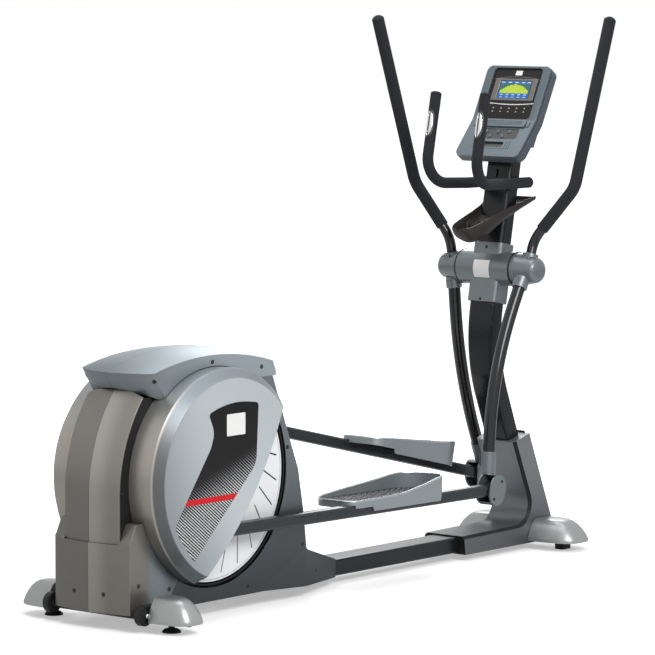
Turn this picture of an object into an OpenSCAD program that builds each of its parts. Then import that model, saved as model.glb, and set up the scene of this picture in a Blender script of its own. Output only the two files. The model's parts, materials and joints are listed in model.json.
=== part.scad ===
// Elliptical trainer: a closed crank housing at the rear, pedal arms hung from swinging
// handlebars, a bent mast, fixed handlebars and a console.
// X points forwards, Y to the user's left and Z up. The origin is on the floor, under the
// middle of the machine. Paired pieces are drawn for the left side and mirrored.

/* [Linkage] */
// Place of the crank axle along the machine
crank_x = -688; // [-695:1:-680]
// Height of the crank axle above the floor
crank_z = 404; // [400:1:410]
// Throw of the cranks
crank_r = 262; // [240:1:264]
// Angle of the left crank above the horizontal
crank_angle = 35; // [20:1:50]
// Length of a pedal arm between its pivot and the crank pin
arm_len = 1479; // [1460:1:1490]
// Length of a swing lever between the hub and the arm pivot
lever_len = 711; // [690:1:730]
// Height of the swing hub above the floor
hub_z = 910; // [890:1:930]
// Distance of a pedal arm's middle plane from the middle of the machine
arm_y = 175; // [172:1:180]

/* [Pedal arms] */
// Width of the pedal arm tube
arm_w = 40; // [34:1:42]
// Height of the pedal arm tube
arm_h = 36; // [32:1:42]
// Corner radius of the pedal arm tube
arm_corner = 9; // [4:1:12]
// Radius of the fork pin
fork_pin_r = 10; // [8:0.5:12]
// Width of the fork over its two cheeks
fork_w = 58; // [56:1:64]
// Thickness of a fork cheek
fork_wall = 6; // [4:0.5:7]
// Radius of the round ends of the fork's oval
fork_r = 38; // [34:1:42]
// Height of the straight part of the fork's oval
fork_straight = 20; // [10:1:30]

/* [Pedals] */
// Length of a pedal
pedal_l = 460; // [400:1:480]
// Width of a pedal
pedal_w = 158; // [140:1:162]
// Distance of the pedal's middle behind the arm pivot
pedal_back = 480; // [466:1:520]
// Height of the pedal's wall above the arm at the heel
pedal_heel_h = 11; // [10:1:24]
// Height of the pedal's wall above the arm at the toe
pedal_toe_h = 52; // [40:1:64]
// Thickness of the pedal's walls
pedal_wall = 6; // [4:0.5:9]
// Thickness of the pedal's floor
pedal_floor = 4; // [3:0.5:6]
// Thickness of the rubber mat
mat_t = 4; // [2:0.5:5]

/* [Frame] */
// Width of the base beam
beam_w = 100; // [80:1:106]
// Height of the base beam
beam_h = 50; // [40:1:56]
// Height of the beam's underside above the floor
beam_z = 24; // [22:1:30]
// Wall of the welded steel tubes
steel_wall = 3; // [2:0.5:4]
// Radius of the stabiliser tubes
stab_r = 25; // [20:1:26]
// Place of the rear stabiliser along the machine
rear_stab_x = -968; // [-980:1:-960]
// Place of the front stabiliser along the machine
front_stab_x = 970; // [960:1:980]
// Overall width of the rear stabiliser with its caps
rear_stab_w = 650; // [600:1:700]
// Overall width of the front stabiliser with its caps
front_stab_w = 480; // [440:1:520]

/* [Mast] */
// Width of the mast tube
mast_w = 100; // [90:1:106]
// Depth of the mast tube
mast_d = 60; // [50:1:64]
// Place of the mast's foot along the machine
mast_x = 982; // [975:1:990]
// Lean of the lower mast towards the rear
mast_lean = 22; // [18:1:24]
// Length of the lower straight of the mast
mast_low = 471; // [460:1:480]
// Radius of the mast's bend
mast_bend_r = 500; // [440:10:560]
// Lean of the upper mast towards the front
mast_top_lean = 11.3; // [9:0.1:13]
// Length of the upper straight of the mast
mast_top = 560; // [540:1:580]

/* [Hub and handlebars] */
// Radius of the hub barrel
hub_r = 55; // [48:1:60]
// Half the width of the hub barrel
hub_half = 104; // [98:1:106]
// Radius of the swing axle
axle_r = 15; // [12:0.5:18]
// Outer diameter of the handlebar tube
bar_d = 32; // [28:1:36]
// Outer diameter of the lever tube
lever_d = 39; // [34:1:42]
// Outer diameter of the foam grips
grip_d = 39; // [36:1:44]
// Outer diameter of the knuckle's tube sockets
socket_d = 50; // [46:1:56]

/* [Housing] */
// Radius of the round crank covers
cover_r = 319; // [314:1:319]
// Wall of the moulded housing
shell_t = 3; // [2:0.5:4]
// Half width of the rear spine between the crank wells
spine_half = 105; // [102:1:108]
// Half width of the base shroud
shroud_half = 145; // [142:1:150]
// Half width of the front shroud
front_half = 141; // [138:1:145]
// Half width of the top cover
top_half = 140; // [136:1:144]
// Distance of the cover's flat face from the middle
cover_face = 216; // [212:1:222]
// Distance of the edge between the cover's rim and its bevel from the middle
cover_rim = 187; // [184:1:192]
// Radius of the cover's flat face
cover_flat_r = 292; // [286:1:298]
// Radius of the crank disc
disc_r = 304; // [296:1:304]
// Distance of the crank disc's outer face from the middle
disc_face = 136; // [134:1:138]

/* [Drive] */
// Radius of the crank axle
crank_axle_r = 12.5; // [10:0.5:15]
// Radius of the drive pulley
pulley_r = 170; // [150:1:180]
// Radius of the generator's small pulley
gen_pulley_r = 22; // [18:1:28]
// Radius of the generator's rotor
rotor_r = 92; // [70:1:95]
// Place of the generator along the machine
gen_x = -452; // [-456:1:-440]
// Height of the generator
gen_z = 218; // [212:1:224]
// Width of the drive belt
belt_w = 18; // [14:1:22]
// Thickness of the drive belt
belt_t = 4; // [3:0.5:5]

/* [Fixed handlebar] */
// Outer diameter of the fixed handlebar tube
fixed_d = 25; // [22:1:26]
// Outer diameter of the fixed handlebar's foam
fixed_grip_d = 35; // [33:1:38]
// Height at which the fixed handlebar passes the mast
fixed_z = 1180; // [1170:1:1190]
// Distance of the fixed handlebar's uprights from the middle
fixed_y = 98; // [94:1:104]

/* [Console] */
// Half width of the console
console_half = 130; // [124:1:136]
// Depth of the console's edge
console_t = 34; // [30:1:40]
// Radius of a round key
key_r = 6.5; // [5:0.5:8]
// Height of a round key above the console's face
key_h = 1.5; // [1:0.5:3]

/* [Fits] */
// Radial clearance of a shaft that turns in a bore
running_fit = 0.05; // [0.03:0.01:0.1]
// Gap between pieces that only rest against each other
seat_gap = 0.3; // [0.2:0.05:0.4]
// Gap along the seam of two housing halves
seam_gap = 0.3; // [0.2:0.1:0.6]

/* [Hidden] */
$fn = 72;
left = 1;
right = -1;
over = 1;
wide = 2000;
// How far joined runs of one tube overlap, and how much thicker the bend is than the run.
lap = 2;
hair = 0.1;

beam_top = beam_z + beam_h;
arm_in = arm_y - arm_w / 2;
arm_out = arm_y + arm_w / 2;

// Mast: end of the lower straight, end of the bend, and the upper line.
mast_foot_z = beam_top - 4;
bend_start = [mast_x - mast_low * sin(mast_lean), mast_foot_z + mast_low * cos(mast_lean)];
bend_end = bend_start + mast_bend_r * [cos(mast_lean) - cos(mast_top_lean),
    sin(mast_top_lean) + sin(mast_lean)];
function mast_x_at(z) = bend_end[0] + (z - bend_end[1]) * tan(mast_top_lean);
hub_x = mast_x_at(hub_z);

// Closure of the linkage: crank pin, arm pivot, swing angle and arm tilt of one side.
function crank_pin(s) = [crank_x + s * crank_r * cos(crank_angle),
    crank_z + s * crank_r * sin(crank_angle)];
function pivot(s) =
    let (p = crank_pin(s))
    let (to_hub = [hub_x, hub_z] - p)
    let (d = norm(to_hub))
    let (a = (arm_len * arm_len - lever_len * lever_len + d * d) / (2 * d))
    let (h = sqrt(arm_len * arm_len - a * a))
    p + (a * to_hub + h * [to_hub[1], -to_hub[0]]) / d;
function swing_angle(s) = atan2(hub_x - pivot(s)[0], hub_z - pivot(s)[1]);
function arm_tilt(s) = atan2(crank_pin(s)[1] - pivot(s)[1], pivot(s)[0] - crank_pin(s)[0]);

// ---- Placing and general shapes

module on_side(s) {
    mirror([0, s < 0 ? 1 : 0, 0]) children();
}

module both_sides() {
    for (s = [right, left]) on_side(s) children();
}

// Extrudes an outline drawn in X and Z between two distances from the middle.
module along_y(y0, y1) {
    translate([0, y1, 0]) rotate([90, 0, 0]) linear_extrude(y1 - y0) children();
}

module rod_y(r, y0, y1) {
    translate([0, y1, 0]) rotate([90, 0, 0]) cylinder(r = r, h = y1 - y0);
}

module ring_y(r_out, r_in, y0, y1) {
    difference() {
        rod_y(r_out, y0, y1);
        rod_y(r_in, y0 - over, y1 + over);
    }
}

module round_rect(w, h, r) {
    square([w, h - 2 * r], center = true);
    square([w - 2 * r, h], center = true);
    for (x = [-1, 1], y = [-1, 1]) translate([x * (w / 2 - r), y * (h / 2 - r)]) circle(r);
}

// Rounded rectangle with its own radius on each corner, counted anticlockwise from the origin.
module plan_with_corners(l, w, r) {
    centres = [[r[0], r[0]], [l - r[1], r[1]], [l - r[2], w - r[2]], [r[3], w - r[3]]];
    polygon([[r[0], 0], [l - r[1], 0], [l, r[1]], [l, w - r[2]], [l - r[2], w], [r[3], w],
        [0, w - r[3]], [0, r[0]]]);
    for (i = [0 : 3]) intersection() {
        translate(centres[i]) circle(r[i]);
        translate([i == 0 || i == 3 ? 0 : l - r[i], i < 2 ? 0 : w - r[i]]) square(r[i]);
    }
}

// A disc about the Y axis whose rim is crowned.
module barrel_y(r, half_w, crown) {
    crown_r = (half_w * half_w + crown * crown) / (2 * crown);
    rotate([90, 0, 0]) rotate_extrude($fn = 180) intersection() {
        translate([0, -half_w]) square([r + crown, 2 * half_w]);
        translate([r + crown - crown_r, 0]) circle(crown_r, $fn = 360);
    }
}

function unit(v) = v / norm(v);
function axes(o, z, x) = let (y = cross(z, x)) [[x[0], y[0], z[0], o[0]],
    [x[1], y[1], z[1], o[1]], [x[2], y[2], z[2], o[2]], [0, 0, 0, 1]];
function across(z) = unit(cross(abs(z[0]) < 0.9 ? [1, 0, 0] : [0, 1, 0], z));
function turn(p, i) = acos(unit(p[i] - p[i - 1]) * unit(p[i + 1] - p[i]));
function set_back(p, r, i) = i == 0 || i == len(p) - 1 ? 0 : r[i] * tan(turn(p, i) / 2);

module elbow(bend_r, angle, d) {
    translate([bend_r, 0, 0]) mirror([1, 0, 0]) rotate([90, 0, 0])
        rotate_extrude(angle = angle, $fn = 120) translate([bend_r, 0]) circle(d = d);
}

// A round bar through the corner points p, bent to radius r[i] at corner i. Each straight
// runs a little way into its elbows, which are a hair thicker, and past the ends by `past`.
module bent_bar(p, r, d, past = 0) {
    for (i = [1 : len(p) - 1]) {
        u = unit(p[i] - p[i - 1]);
        from = set_back(p, r, i - 1) - (i == 1 ? past : lap);
        to = set_back(p, r, i) - (i == len(p) - 1 ? past : lap);
        multmatrix(axes(p[i - 1] + from * u, u, across(u)))
            cylinder(d = d, h = norm(p[i] - p[i - 1]) - from - to);
    }
    for (i = [1 : 1 : len(p) - 2]) {
        u = unit(p[i] - p[i - 1]);
        v = unit(p[i + 1] - p[i]);
        multmatrix(axes(p[i] - set_back(p, r, i) * u, u, unit(v - (u * v) * u)))
            elbow(r[i], turn(p, i), d + 2 * hair);
    }
}

module bent_tube(p, r, d, wall) {
    difference() {
        bent_bar(p, r, d);
        bent_bar(p, r, d - 2 * wall, over);
    }
}

// ---- Frame

beam_rear = rear_stab_x;
beam_front = front_stab_x;

module base_beam() {
    color("#3b4146") difference() {
        translate([beam_rear, 0, beam_z + beam_h / 2]) rotate([0, 90, 0]) rotate([0, 0, 90])
            linear_extrude(beam_front - beam_rear) difference() {
                round_rect(beam_w, beam_h, 8);
                round_rect(beam_w - 2 * steel_wall, beam_h - 2 * steel_wall, 8 - steel_wall);
            }
        for (x = [beam_rear, beam_front]) translate([x, 0, stab_z]) rod_y(stab_r, -wide, wide);
        mast_solid(0);
    }
}

stab_z = 47;
cap_depth = 128;
rear_cap_in = rear_stab_w / 2 - cap_depth;
foot_y = rear_stab_w / 2 - 95;
foot_rod_r = 5;
wheel_y = foot_y - 52;
wheel_x = rear_stab_x - 60.5;
wheel_z = 50;
wheel_r = 30;
wheel_w = 24;
wheel_bolt_r = 5;
lug_t = 4;

module stabiliser_tube(half) {
    ring_y(stab_r, stab_r - steel_wall, -half, half);
}

module rear_stabiliser() {
    color("#2a2c2e") {
        difference() {
            translate([rear_stab_x, 0, stab_z]) {
                stabiliser_tube(rear_stab_w / 2 - 25);
                both_sides() translate([0, foot_y, -stab_r + 3])
                    cylinder(r = foot_rod_r + 5, h = 2 * stab_r - 6);
            }
            both_sides() translate([rear_stab_x, foot_y, 0])
                cylinder(r = foot_rod_r + running_fit, h = stab_z + stab_r + over);
        }
        both_sides() wheel_lug();
    }
}

// Plate from the stabiliser tube to the wheel, with the wheel's bolt.
module wheel_lug() {
    lug_out = wheel_y - wheel_w / 2 - 2;
    difference() {
        along_y(lug_out - lug_t, lug_out) {
            translate([wheel_x, wheel_z]) circle(13);
            polygon([[wheel_x, wheel_z - 13], [rear_stab_x, stab_z - 16],
                [rear_stab_x, stab_z + 16], [wheel_x, wheel_z + 13]]);
        }
        translate([rear_stab_x, 0, stab_z]) rod_y(stab_r - over, -wide, wide);
    }
    translate([wheel_x, 0, wheel_z]) {
        rod_y(wheel_bolt_r, lug_out - lug_t, wheel_y + wheel_w / 2 + 1);
        rod_y(8, wheel_y + wheel_w / 2 + seat_gap, wheel_y + wheel_w / 2 + 5);
    }
}

module front_stabiliser() {
    color("#2a2c2e") translate([front_stab_x, 0, stab_z])
        stabiliser_tube(front_stab_w / 2 - 25);
}

// Domed end cap: plan, side and front outlines crossed with each other.
module end_cap(x, tube_x, y_in, y_out, half_l, top_z, low_z) {
    dome_r = 105;
    fall_r = 150;
    difference() {
        intersection() {
            translate([x, y_in, low_z]) linear_extrude(top_z - low_z) translate([-half_l, 0])
                plan_with_corners(2 * half_l, y_out - y_in, [6, 6, 52, 52]);
            translate([x, 0, top_z - dome_r]) rod_y(dome_r, y_in, y_out);
            translate([x - half_l, y_in + 30, top_z - fall_r]) rotate([0, 90, 0])
                intersection() {
                    cylinder(r = fall_r, h = 2 * half_l, $fn = 120);
                    translate([-fall_r, -30, 0]) cube([fall_r, fall_r + 30, 2 * half_l]);
                }
        }
        translate([tube_x, 0, stab_z]) rod_y(stab_r + seat_gap, -wide, y_out - 24);
        translate([x - half_l + 4, y_in - over, low_z - over])
            cube([2 * half_l - 8, y_out - y_in - 30, stab_z - low_z - 12]);
    }
}

module rear_caps() {
    color("#a9aaa6") difference() {
        both_sides() end_cap(rear_stab_x, rear_stab_x, rear_cap_in, rear_stab_w / 2, 62, 101, 30);
        both_sides() translate([rear_stab_x, foot_y, 0]) cylinder(r = foot_rod_r + 7, h = 45);
    }
}

front_cap_in = 95;

module front_caps() {
    color("#a9aaa6") both_sides()
        end_cap(front_stab_x + 5, front_stab_x, front_cap_in, front_stab_w / 2, 80, 97, 28);
}

pad_l = 46;

module front_pads() {
    color("#161616") both_sides() translate([front_stab_x + 14, 155, 0])
        linear_extrude(stab_z - stab_r) round_rect(pad_l, 34, 6);
}

module levelling_foot(s) {
    color("#161616") on_side(s) translate([rear_stab_x, foot_y, 0]) {
        rotate_extrude() polygon([[0, 0], [27, 0], [27, 4], [20, 10], [9, 13], [9, 20], [0, 20]]);
        cylinder(r = foot_rod_r, h = stab_z + stab_r - 4);
    }
}

module transport_wheel(s) {
    color("#131313") on_side(s) translate([wheel_x, wheel_y, wheel_z]) difference() {
        union() {
            rod_y(wheel_r, -wheel_w / 2 + 3, wheel_w / 2 - 3);
            rod_y(wheel_r - 3, -wheel_w / 2 + 1, wheel_w / 2 - 1);
            rod_y(11, -wheel_w / 2, wheel_w / 2);
        }
        ring_y(wheel_r - 6, 12, wheel_w / 2 - 3, wheel_w / 2);
        rod_y(wheel_bolt_r + running_fit, -wheel_w, wheel_w);
    }
}

bearing_r = 26;
bearing_w = 15;
plate_y = 58;
plate_t = 6;
idler_r = 20;
idler_axle_r = 6;
gen_axle_r = 8;
gen_plate_out = 84;
gen_plate_in = -34;

// Where the idler presses on the belt's lower run.
belt_dir = unit([gen_x, gen_z] - [crank_x, crank_z]);
belt_d = norm([gen_x, gen_z] - [crank_x, crank_z]);
belt_lean = asin((pulley_r - gen_pulley_r) / belt_d);
function turned(v, a) = [v[0] * cos(a) - v[1] * sin(a), v[0] * sin(a) + v[1] * cos(a)];
// Outward normals of the two straight runs.
run_up = turned(belt_dir, 90 - belt_lean);
run_low = turned(belt_dir, belt_lean - 90);
idler_at = [crank_x, crank_z] + (pulley_r + belt_t + seat_gap + idler_r) * run_up
    + 110 * turned(run_up, -90);

module crank_frame() {
    color("#2a2c2e") {
        difference() {
            union() {
                both_sides() along_y(plate_y, plate_y + plate_t) {
                    polygon([[crank_x - 110, beam_top], [crank_x + 110, beam_top],
                        [crank_x + 34, crank_z], [crank_x - 34, crank_z]]);
                    translate([crank_x, crank_z]) circle(40);
                }
                both_sides() translate([crank_x, 0, crank_z])
                    rod_y(34, plate_y - 5, plate_y - 5 + bearing_w);
                translate([crank_x - 90, -plate_y, beam_top]) cube([12, 2 * plate_y, 160]);
            }
            translate([crank_x, 0, crank_z]) rod_y(bearing_r, -wide, wide);
            translate([crank_x - 88, 0, beam_top + 80]) rotate([0, 90, 0])
                cylinder(r = 40, h = 50, center = true);
        }
        generator_bracket();
        idler_arm();
    }
}

module generator_bracket() {
    for (y = [gen_plate_in - plate_t, gen_plate_out]) along_y(y, y + plate_t) {
        polygon([[gen_x - 60, beam_top], [gen_x + 60, beam_top], [gen_x + 20, gen_z],
            [gen_x - 20, gen_z]]);
        translate([gen_x, gen_z]) circle(20);
    }
    translate([gen_x - 60, gen_plate_in - plate_t, beam_top])
        cube([120, gen_plate_out - gen_plate_in + 2 * plate_t, 5]);
    translate([gen_x, 0, gen_z]) rod_y(gen_axle_r, gen_plate_in - plate_t, gen_plate_out + plate_t);
}

module idler_arm() {
    along_y(plate_y, plate_y + plate_t) hull() {
        translate(idler_at) circle(12);
        translate([crank_x, crank_z] + 46 * unit(idler_at - [crank_x, crank_z])) circle(16);
    }
    translate([idler_at[0], 0, idler_at[1]])
        rod_y(idler_axle_r, -belt_w / 2 - 4, plate_y);
}

module crank_bearings() {
    color("silver") both_sides() translate([crank_x, 0, crank_z])
        ring_y(bearing_r, crank_axle_r + 4, plate_y - 5, plate_y - 5 + bearing_w);
}

module mast_profile(inset) {
    round_rect(mast_d - 2 * inset, mast_w - 2 * inset, 14 - inset);
}

module mast_solid(inset) {
    past = inset > 0 ? over : 0;
    translate([mast_x, 0, mast_foot_z]) rotate([0, -mast_lean, 0]) {
        translate([0, 0, -past]) linear_extrude(mast_low + past + lap) mast_profile(inset);
        translate([0, 0, mast_low]) {
            translate([mast_bend_r, 0, 0]) mirror([1, 0, 0]) rotate([90, 0, 0])
                rotate_extrude(angle = mast_lean + mast_top_lean, $fn = 180)
                    translate([mast_bend_r, 0]) mast_profile(inset - hair);
            translate([mast_bend_r, 0, 0]) rotate([0, mast_lean + mast_top_lean, 0])
                translate([-mast_bend_r, 0, -lap])
                    linear_extrude(mast_top + lap + past) mast_profile(inset);
        }
    }
}

module mast() {
    color("#17181a") difference() {
        mast_solid(0);
        mast_solid(steel_wall);
        translate([front_stab_x, 0, stab_z]) rod_y(stab_r, -wide, wide);
        translate([hub_x, 0, hub_z]) rod_y(axle_r, -wide, wide);
        translate([mast_x_at(fixed_z), 0, fixed_z]) rod_y(cross_bolt_r, -wide, wide);
        translate([mast_x_at(1210) - mast_d / 2, 0, 1210]) rotate([0, 90 + mast_top_lean, 0])
            linear_extrude(20, center = true) round_rect(28, 9, 4.4);
    }
}

// ---- Housing

well_r = cover_r + 2;
shroud_rear = crank_x - cover_r - 59;
spine_r = cover_r + 137;
spine_crown = 13;
spine_cx = crank_x + 96;
spine_cz = crank_z - 34;
spine_top = crank_z + 286;
ledge_z = 245;
shroud_low = 47;
shroud_crown = 18;
ring_out = cover_r - 6;
ring_in = ring_out - 4;

module well_cut(y_from) {
    both_sides() translate([crank_x, 0, crank_z]) rod_y(well_r, y_from, wide);
}

// Solid block of the rear spine, its outer faces moved in by the inset.
module spine_block(inset) {
    half = spine_half + (inset > 0 ? over : 0);
    intersection() {
        translate([spine_cx, 0, spine_cz]) barrel_y(spine_r - inset, half, spine_crown);
        translate([spine_cx - wide, -half, spine_cz]) cube([wide, 2 * half, wide]);
    }
    crown_r = (spine_half * spine_half + spine_crown * spine_crown) / (2 * spine_crown);
    translate([0, 0, ledge_z - 20]) linear_extrude(spine_cz - ledge_z + 20 + lap) intersection() {
        translate([spine_cx - spine_r - spine_crown + inset + crown_r + hair, 0])
            circle(crown_r, $fn = 360);
        translate([spine_cx - wide, -half]) square([wide, 2 * half]);
    }
}

module rear_spine() {
    color("#a8a7a1") difference() {
        spine_block(0);
        spine_block(shell_t + 1);
        translate([crank_x - 212, -wide, -wide]) cube([wide, 2 * wide, 2 * wide]);
        translate([-wide, -wide, -wide]) cube([2 * wide, 2 * wide, wide + ledge_z + seat_gap]);
        translate([crank_x - wide, 0, crank_z]) rotate([0, 90, 0]) difference() {
            cylinder(r = wide, h = wide);
            translate([0, 0, -over]) cylinder(r = arch_r - seat_gap, h = wide + 2 * over, $fn = 120);
        }
        translate([-wide, -seam_gap / 2, 0]) cube([2 * wide, seam_gap, wide]);
    }
}

// Plan of the base shroud, crowned at the rear.
module shroud_plan(inset) {
    crown_r = (shroud_half * shroud_half + shroud_crown * shroud_crown) / (2 * shroud_crown);
    intersection() {
        translate([shroud_rear + inset + crown_r, 0]) circle(crown_r, $fn = 360);
        translate([-wide, -shroud_half + inset]) square([2 * wide, 2 * (shroud_half - inset)]);
    }
}

cheek_top = 302;
split_x = crank_x - 180;

module base_shroud_block(inset) {
    open = inset > 0 ? 40 : 0;
    intersection() {
        translate([0, 0, shroud_low - (inset > 0 ? over : 0)])
            linear_extrude(cheek_top - shroud_low + over) shroud_plan(inset);
        along_y(-wide, wide) polygon([[shroud_rear - 30, shroud_low - over],
            [split_x - 24 + open, shroud_low - over], [split_x + open, 99],
            [split_x + 60 + open, 170], [split_x - 40 + open, cheek_top - inset],
            [shroud_rear + 45 + inset, cheek_top - inset],
            [shroud_rear + 22, ledge_z + 10 - inset], [shroud_rear + 10, ledge_z - inset],
            [shroud_rear - 30, ledge_z - inset]]);
    }
}

module base_shroud() {
    color("#a8a7a1") difference() {
        base_shroud_block(0);
        base_shroud_block(shell_t);
        well_cut(spine_half - 1);
        spine_clear();
        beam_clear();
        translate([-wide, -seam_gap / 2, 0]) cube([2 * wide, seam_gap, wide]);
        translate([rear_stab_x, 0, stab_z]) rod_y(stab_r + seat_gap, -wide, wide);
    }
}

// Room for what passes up between the two wells.
module spine_clear() {
    translate([-wide, -spine_half - seat_gap, ledge_z + seat_gap])
        cube([2 * wide, 2 * (spine_half + seat_gap), wide]);
}

module beam_clear() {
    translate([beam_rear - 32, -beam_w / 2 - seat_gap, 0])
        cube([wide, beam_w + 2 * seat_gap, beam_top + seat_gap]);
}

top_r = 943;
top_crown = 16;
top_cx = crank_x + 2;
top_cz = crank_z + cover_r + 34 - top_r;
rear_slant = 33;
rear_plan_r = 240;
rear_seam = [crank_x - cover_r + 6, crank_z + cover_r + 14];
top_low = crank_z + cover_r - 78;
arch_r = cover_r - 48;
top_front = crank_x + cover_r - 43;
front_top = crank_z + cover_r - 47;

module top_block(inset) {
    below = inset > 0 ? over : 0;
    intersection() {
        translate([top_cx, 0, top_cz]) barrel_y(top_r - inset, top_half - inset, top_crown);
        translate([rear_seam[0] + inset, 0, rear_seam[1]]) rotate([0, -rear_slant, 0])
            linear_extrude(900, center = true) {
                translate([rear_plan_r, 0]) circle(rear_plan_r, $fn = 180);
                translate([rear_plan_r, -wide / 2]) square([wide, wide]);
            }
        along_y(-top_half, top_half) polygon([[crank_x - wide, top_low - below],
            [crank_x - 12, top_low - below], [crank_x - 11, front_top - below],
            [top_front - inset, front_top - below], [top_front - inset, front_top + 14],
            [top_front - 14 - inset, front_top + 46], [top_front - 30 - inset, wide],
            [crank_x - wide, wide]]);
    }
}

module top_cover() {
    color("#a3a8ab") difference() {
        top_block(0);
        top_block(shell_t);
        translate([crank_x, 0, crank_z]) rod_y(well_r, -wide, wide);
        translate([crank_x - 412, 0, crank_z]) rotate([0, 90, 0])
            cylinder(r = arch_r, h = 230, $fn = 120);
        translate([-wide, -seam_gap / 2, 0]) cube([2 * wide, seam_gap, wide]);
    }
}

panel_y = 101;
panel_t = 3;
hub_hole_r = 34;

// Floor of a crank well with the ring wall round the disc.
module side_panels() {
    color("#1a1b1c") both_sides() {
        difference() {
            along_y(panel_y, panel_y + panel_t) difference() {
                union() {
                    translate([crank_x, crank_z]) circle(well_r + 6, $fn = 180);
                    intersection() {
                        union() {
                            translate([spine_cx, spine_cz])
                                circle(spine_r - shell_t - 1 - seat_gap, $fn = 180);
                            translate([spine_cx - spine_r + shell_t + 1 + seat_gap, ledge_z + 1])
                                square([200, spine_cz - ledge_z]);
                        }
                        translate([crank_x - wide - 182, ledge_z + 1])
                            square([wide, spine_top - 40 - ledge_z]);
                    }
                }
                translate([crank_x, crank_z]) circle(hub_hole_r);
            }
        }
        translate([crank_x, 0, crank_z]) ring_y(ring_out, ring_in, panel_y + panel_t, disc_face + 3);
    }
}

front_low = 44;
notch = [-276, 151];
seam_foot = [-472, front_low];

module front_block(inset) {
    open = inset > 0 ? 40 : 0;
    over_in = inset > 0 ? over : 0;
    nose = [[notch[0], notch[1]], [-288, 254], [-313, 390], [-362, 510], [-388, 577]];
    along_y(-front_half + inset, front_half - inset) {
        polygon(concat([[split_x - 18 + seat_gap - open, front_low - over_in],
            [seam_foot[0] + open, front_low - over_in]],
            [for (p = nose) [p[0] - inset, p[1]]],
            [[top_front - 15 - inset, front_top - seat_gap + over_in],
            [-600 - open, front_top - seat_gap + over_in], [split_x + 60 - open, 300],
            [split_x + seat_gap - open, 99]]));
    }
}

module front_shroud() {
    color("#4a5259") difference() {
        front_block(0);
        front_block(shell_t);
        well_cut(-wide);
        beam_clear();
        translate([-wide, -seam_gap / 2, 0]) cube([2 * wide, seam_gap, wide]);
        base_shroud_block(-seat_gap);
    }
}

nose_x = -40;
nose_half = 56;

module beam_shroud_block(inset) {
    open = inset > 0 ? 40 : 0;
    intersection() {
        along_y(-front_half + inset, front_half - inset) polygon([
            [seam_foot[0] + seat_gap - open, front_low - (inset > 0 ? over : 0)],
            [-60, beam_z - (inset > 0 ? over : 0)], [nose_x, beam_z - (inset > 0 ? over : 0)],
            [nose_x, beam_top + 5 - inset], [notch[0] + 12, notch[1] - 8 - inset],
            [notch[0] + seat_gap - open, notch[1] - inset]]);
        linear_extrude(wide) polygon([[-600, -front_half + inset], [notch[0], -front_half + inset],
            [nose_x + over, -nose_half + inset], [nose_x + over, nose_half - inset],
            [notch[0], front_half - inset], [-600, front_half - inset]]);
    }
}

module beam_shroud() {
    color("#4a5259") difference() {
        beam_shroud_block(0);
        beam_shroud_block(shell_t);
        beam_clear();
        translate([-wide, -seam_gap / 2, 0]) cube([2 * wide, seam_gap, wide]);
    }
}

chord_r = 1130;
chord_apex = 104;
chord_dir = -36;

module crank_cover(s) {
    color("#b9bfc3") on_side(s) translate([crank_x, 0, crank_z]) intersection() {
        rotate([-90, 0, 0]) rotate_extrude($fn = 180) polygon([
            [cover_r, panel_y + panel_t], [cover_r, cover_rim], [cover_flat_r, cover_face],
            [0, cover_face], [0, cover_face - shell_t], [cover_flat_r - 1, cover_face - shell_t],
            [cover_r - shell_t, cover_rim - 1], [cover_r - shell_t, panel_y + panel_t]]);
        along_y(0, wide) rotate(chord_dir) translate([chord_apex - chord_r, 0])
            circle(chord_r, $fn = 360);
    }
}

// ---- Mast shroud

ms_half = 66;
ms_low_half = 60;

module mast_shroud_block(inset) {
    intersection() {
        along_y(-ms_half + inset, ms_half - inset) polygon([[390, beam_top + 6 - inset],
            [500, 96 - inset], [553, 108 - inset], [615, 130 - inset], [662, 160 - inset],
            [692, 200 - inset], [714, 262 - inset], [737, 357 + (inset > 0 ? over : 0)],
            [816, 357 + (inset > 0 ? over : 0)], [903 - inset, 376 + (inset > 0 ? over : 0)],
            [1024 - inset, 88], [1012 - inset, 20 - (inset > 0 ? over : 0)],
            [640, 20 - (inset > 0 ? over : 0)], [602 + inset, beam_z - 2],
            [602 + inset, 58], [560, beam_top + 3 - inset], [390, beam_top + 3 - inset]]);
        linear_extrude(wide) polygon([[380, -ms_low_half + inset], [600, -ms_low_half + inset],
            [720, -ms_half + inset], [1100, -ms_half + inset], [1100, ms_half - inset],
            [720, ms_half - inset], [600, ms_low_half - inset], [380, ms_low_half - inset]]);
    }
}

module mast_shroud() {
    color("#73757c") difference() {
        mast_shroud_block(0);
        mast_shroud_block(shell_t);
        translate([0, -beam_w / 2 - seat_gap, 0])
            cube([wide, beam_w + 2 * seat_gap, beam_top + seat_gap]);
        mast_solid(-seat_gap);
        translate([front_stab_x, 0, stab_z]) rod_y(stab_r + seat_gap, -wide, wide);
        translate([0, -seam_gap / 2, 0]) cube([wide, seam_gap, wide]);
    }
}

// Dark strip down the front edge of the mast shroud.
module mast_trim() {
    color("#1d1e20") along_y(-ms_half + 10, ms_half - 10)
        polygon([[903 + seat_gap, 382], [909, 382], [1029, 92], [1024 + seat_gap, 88]]);
}

// ---- Hub

collar_up = 78;
collar_down = 112;

module hub_barrel() {
    collar = 8;
    color("#70777c") difference() {
        union() {
            translate([hub_x, 0, hub_z]) rod_y(hub_r, -hub_half, hub_half);
            translate([hub_x, 0, hub_z]) rotate([0, mast_top_lean, 0])
                translate([0, 0, -collar_down]) linear_extrude(collar_down + collar_up)
                    round_rect(mast_d + 2 * collar, mast_w + 2 * collar, 18);
        }
        mast_solid(-seat_gap);
        translate([hub_x, 0, hub_z]) rod_y(axle_r, -wide, wide);
    }
}

knuckle_in = 108;
knuckle_out = 194;
axle_end = 184;

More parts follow.
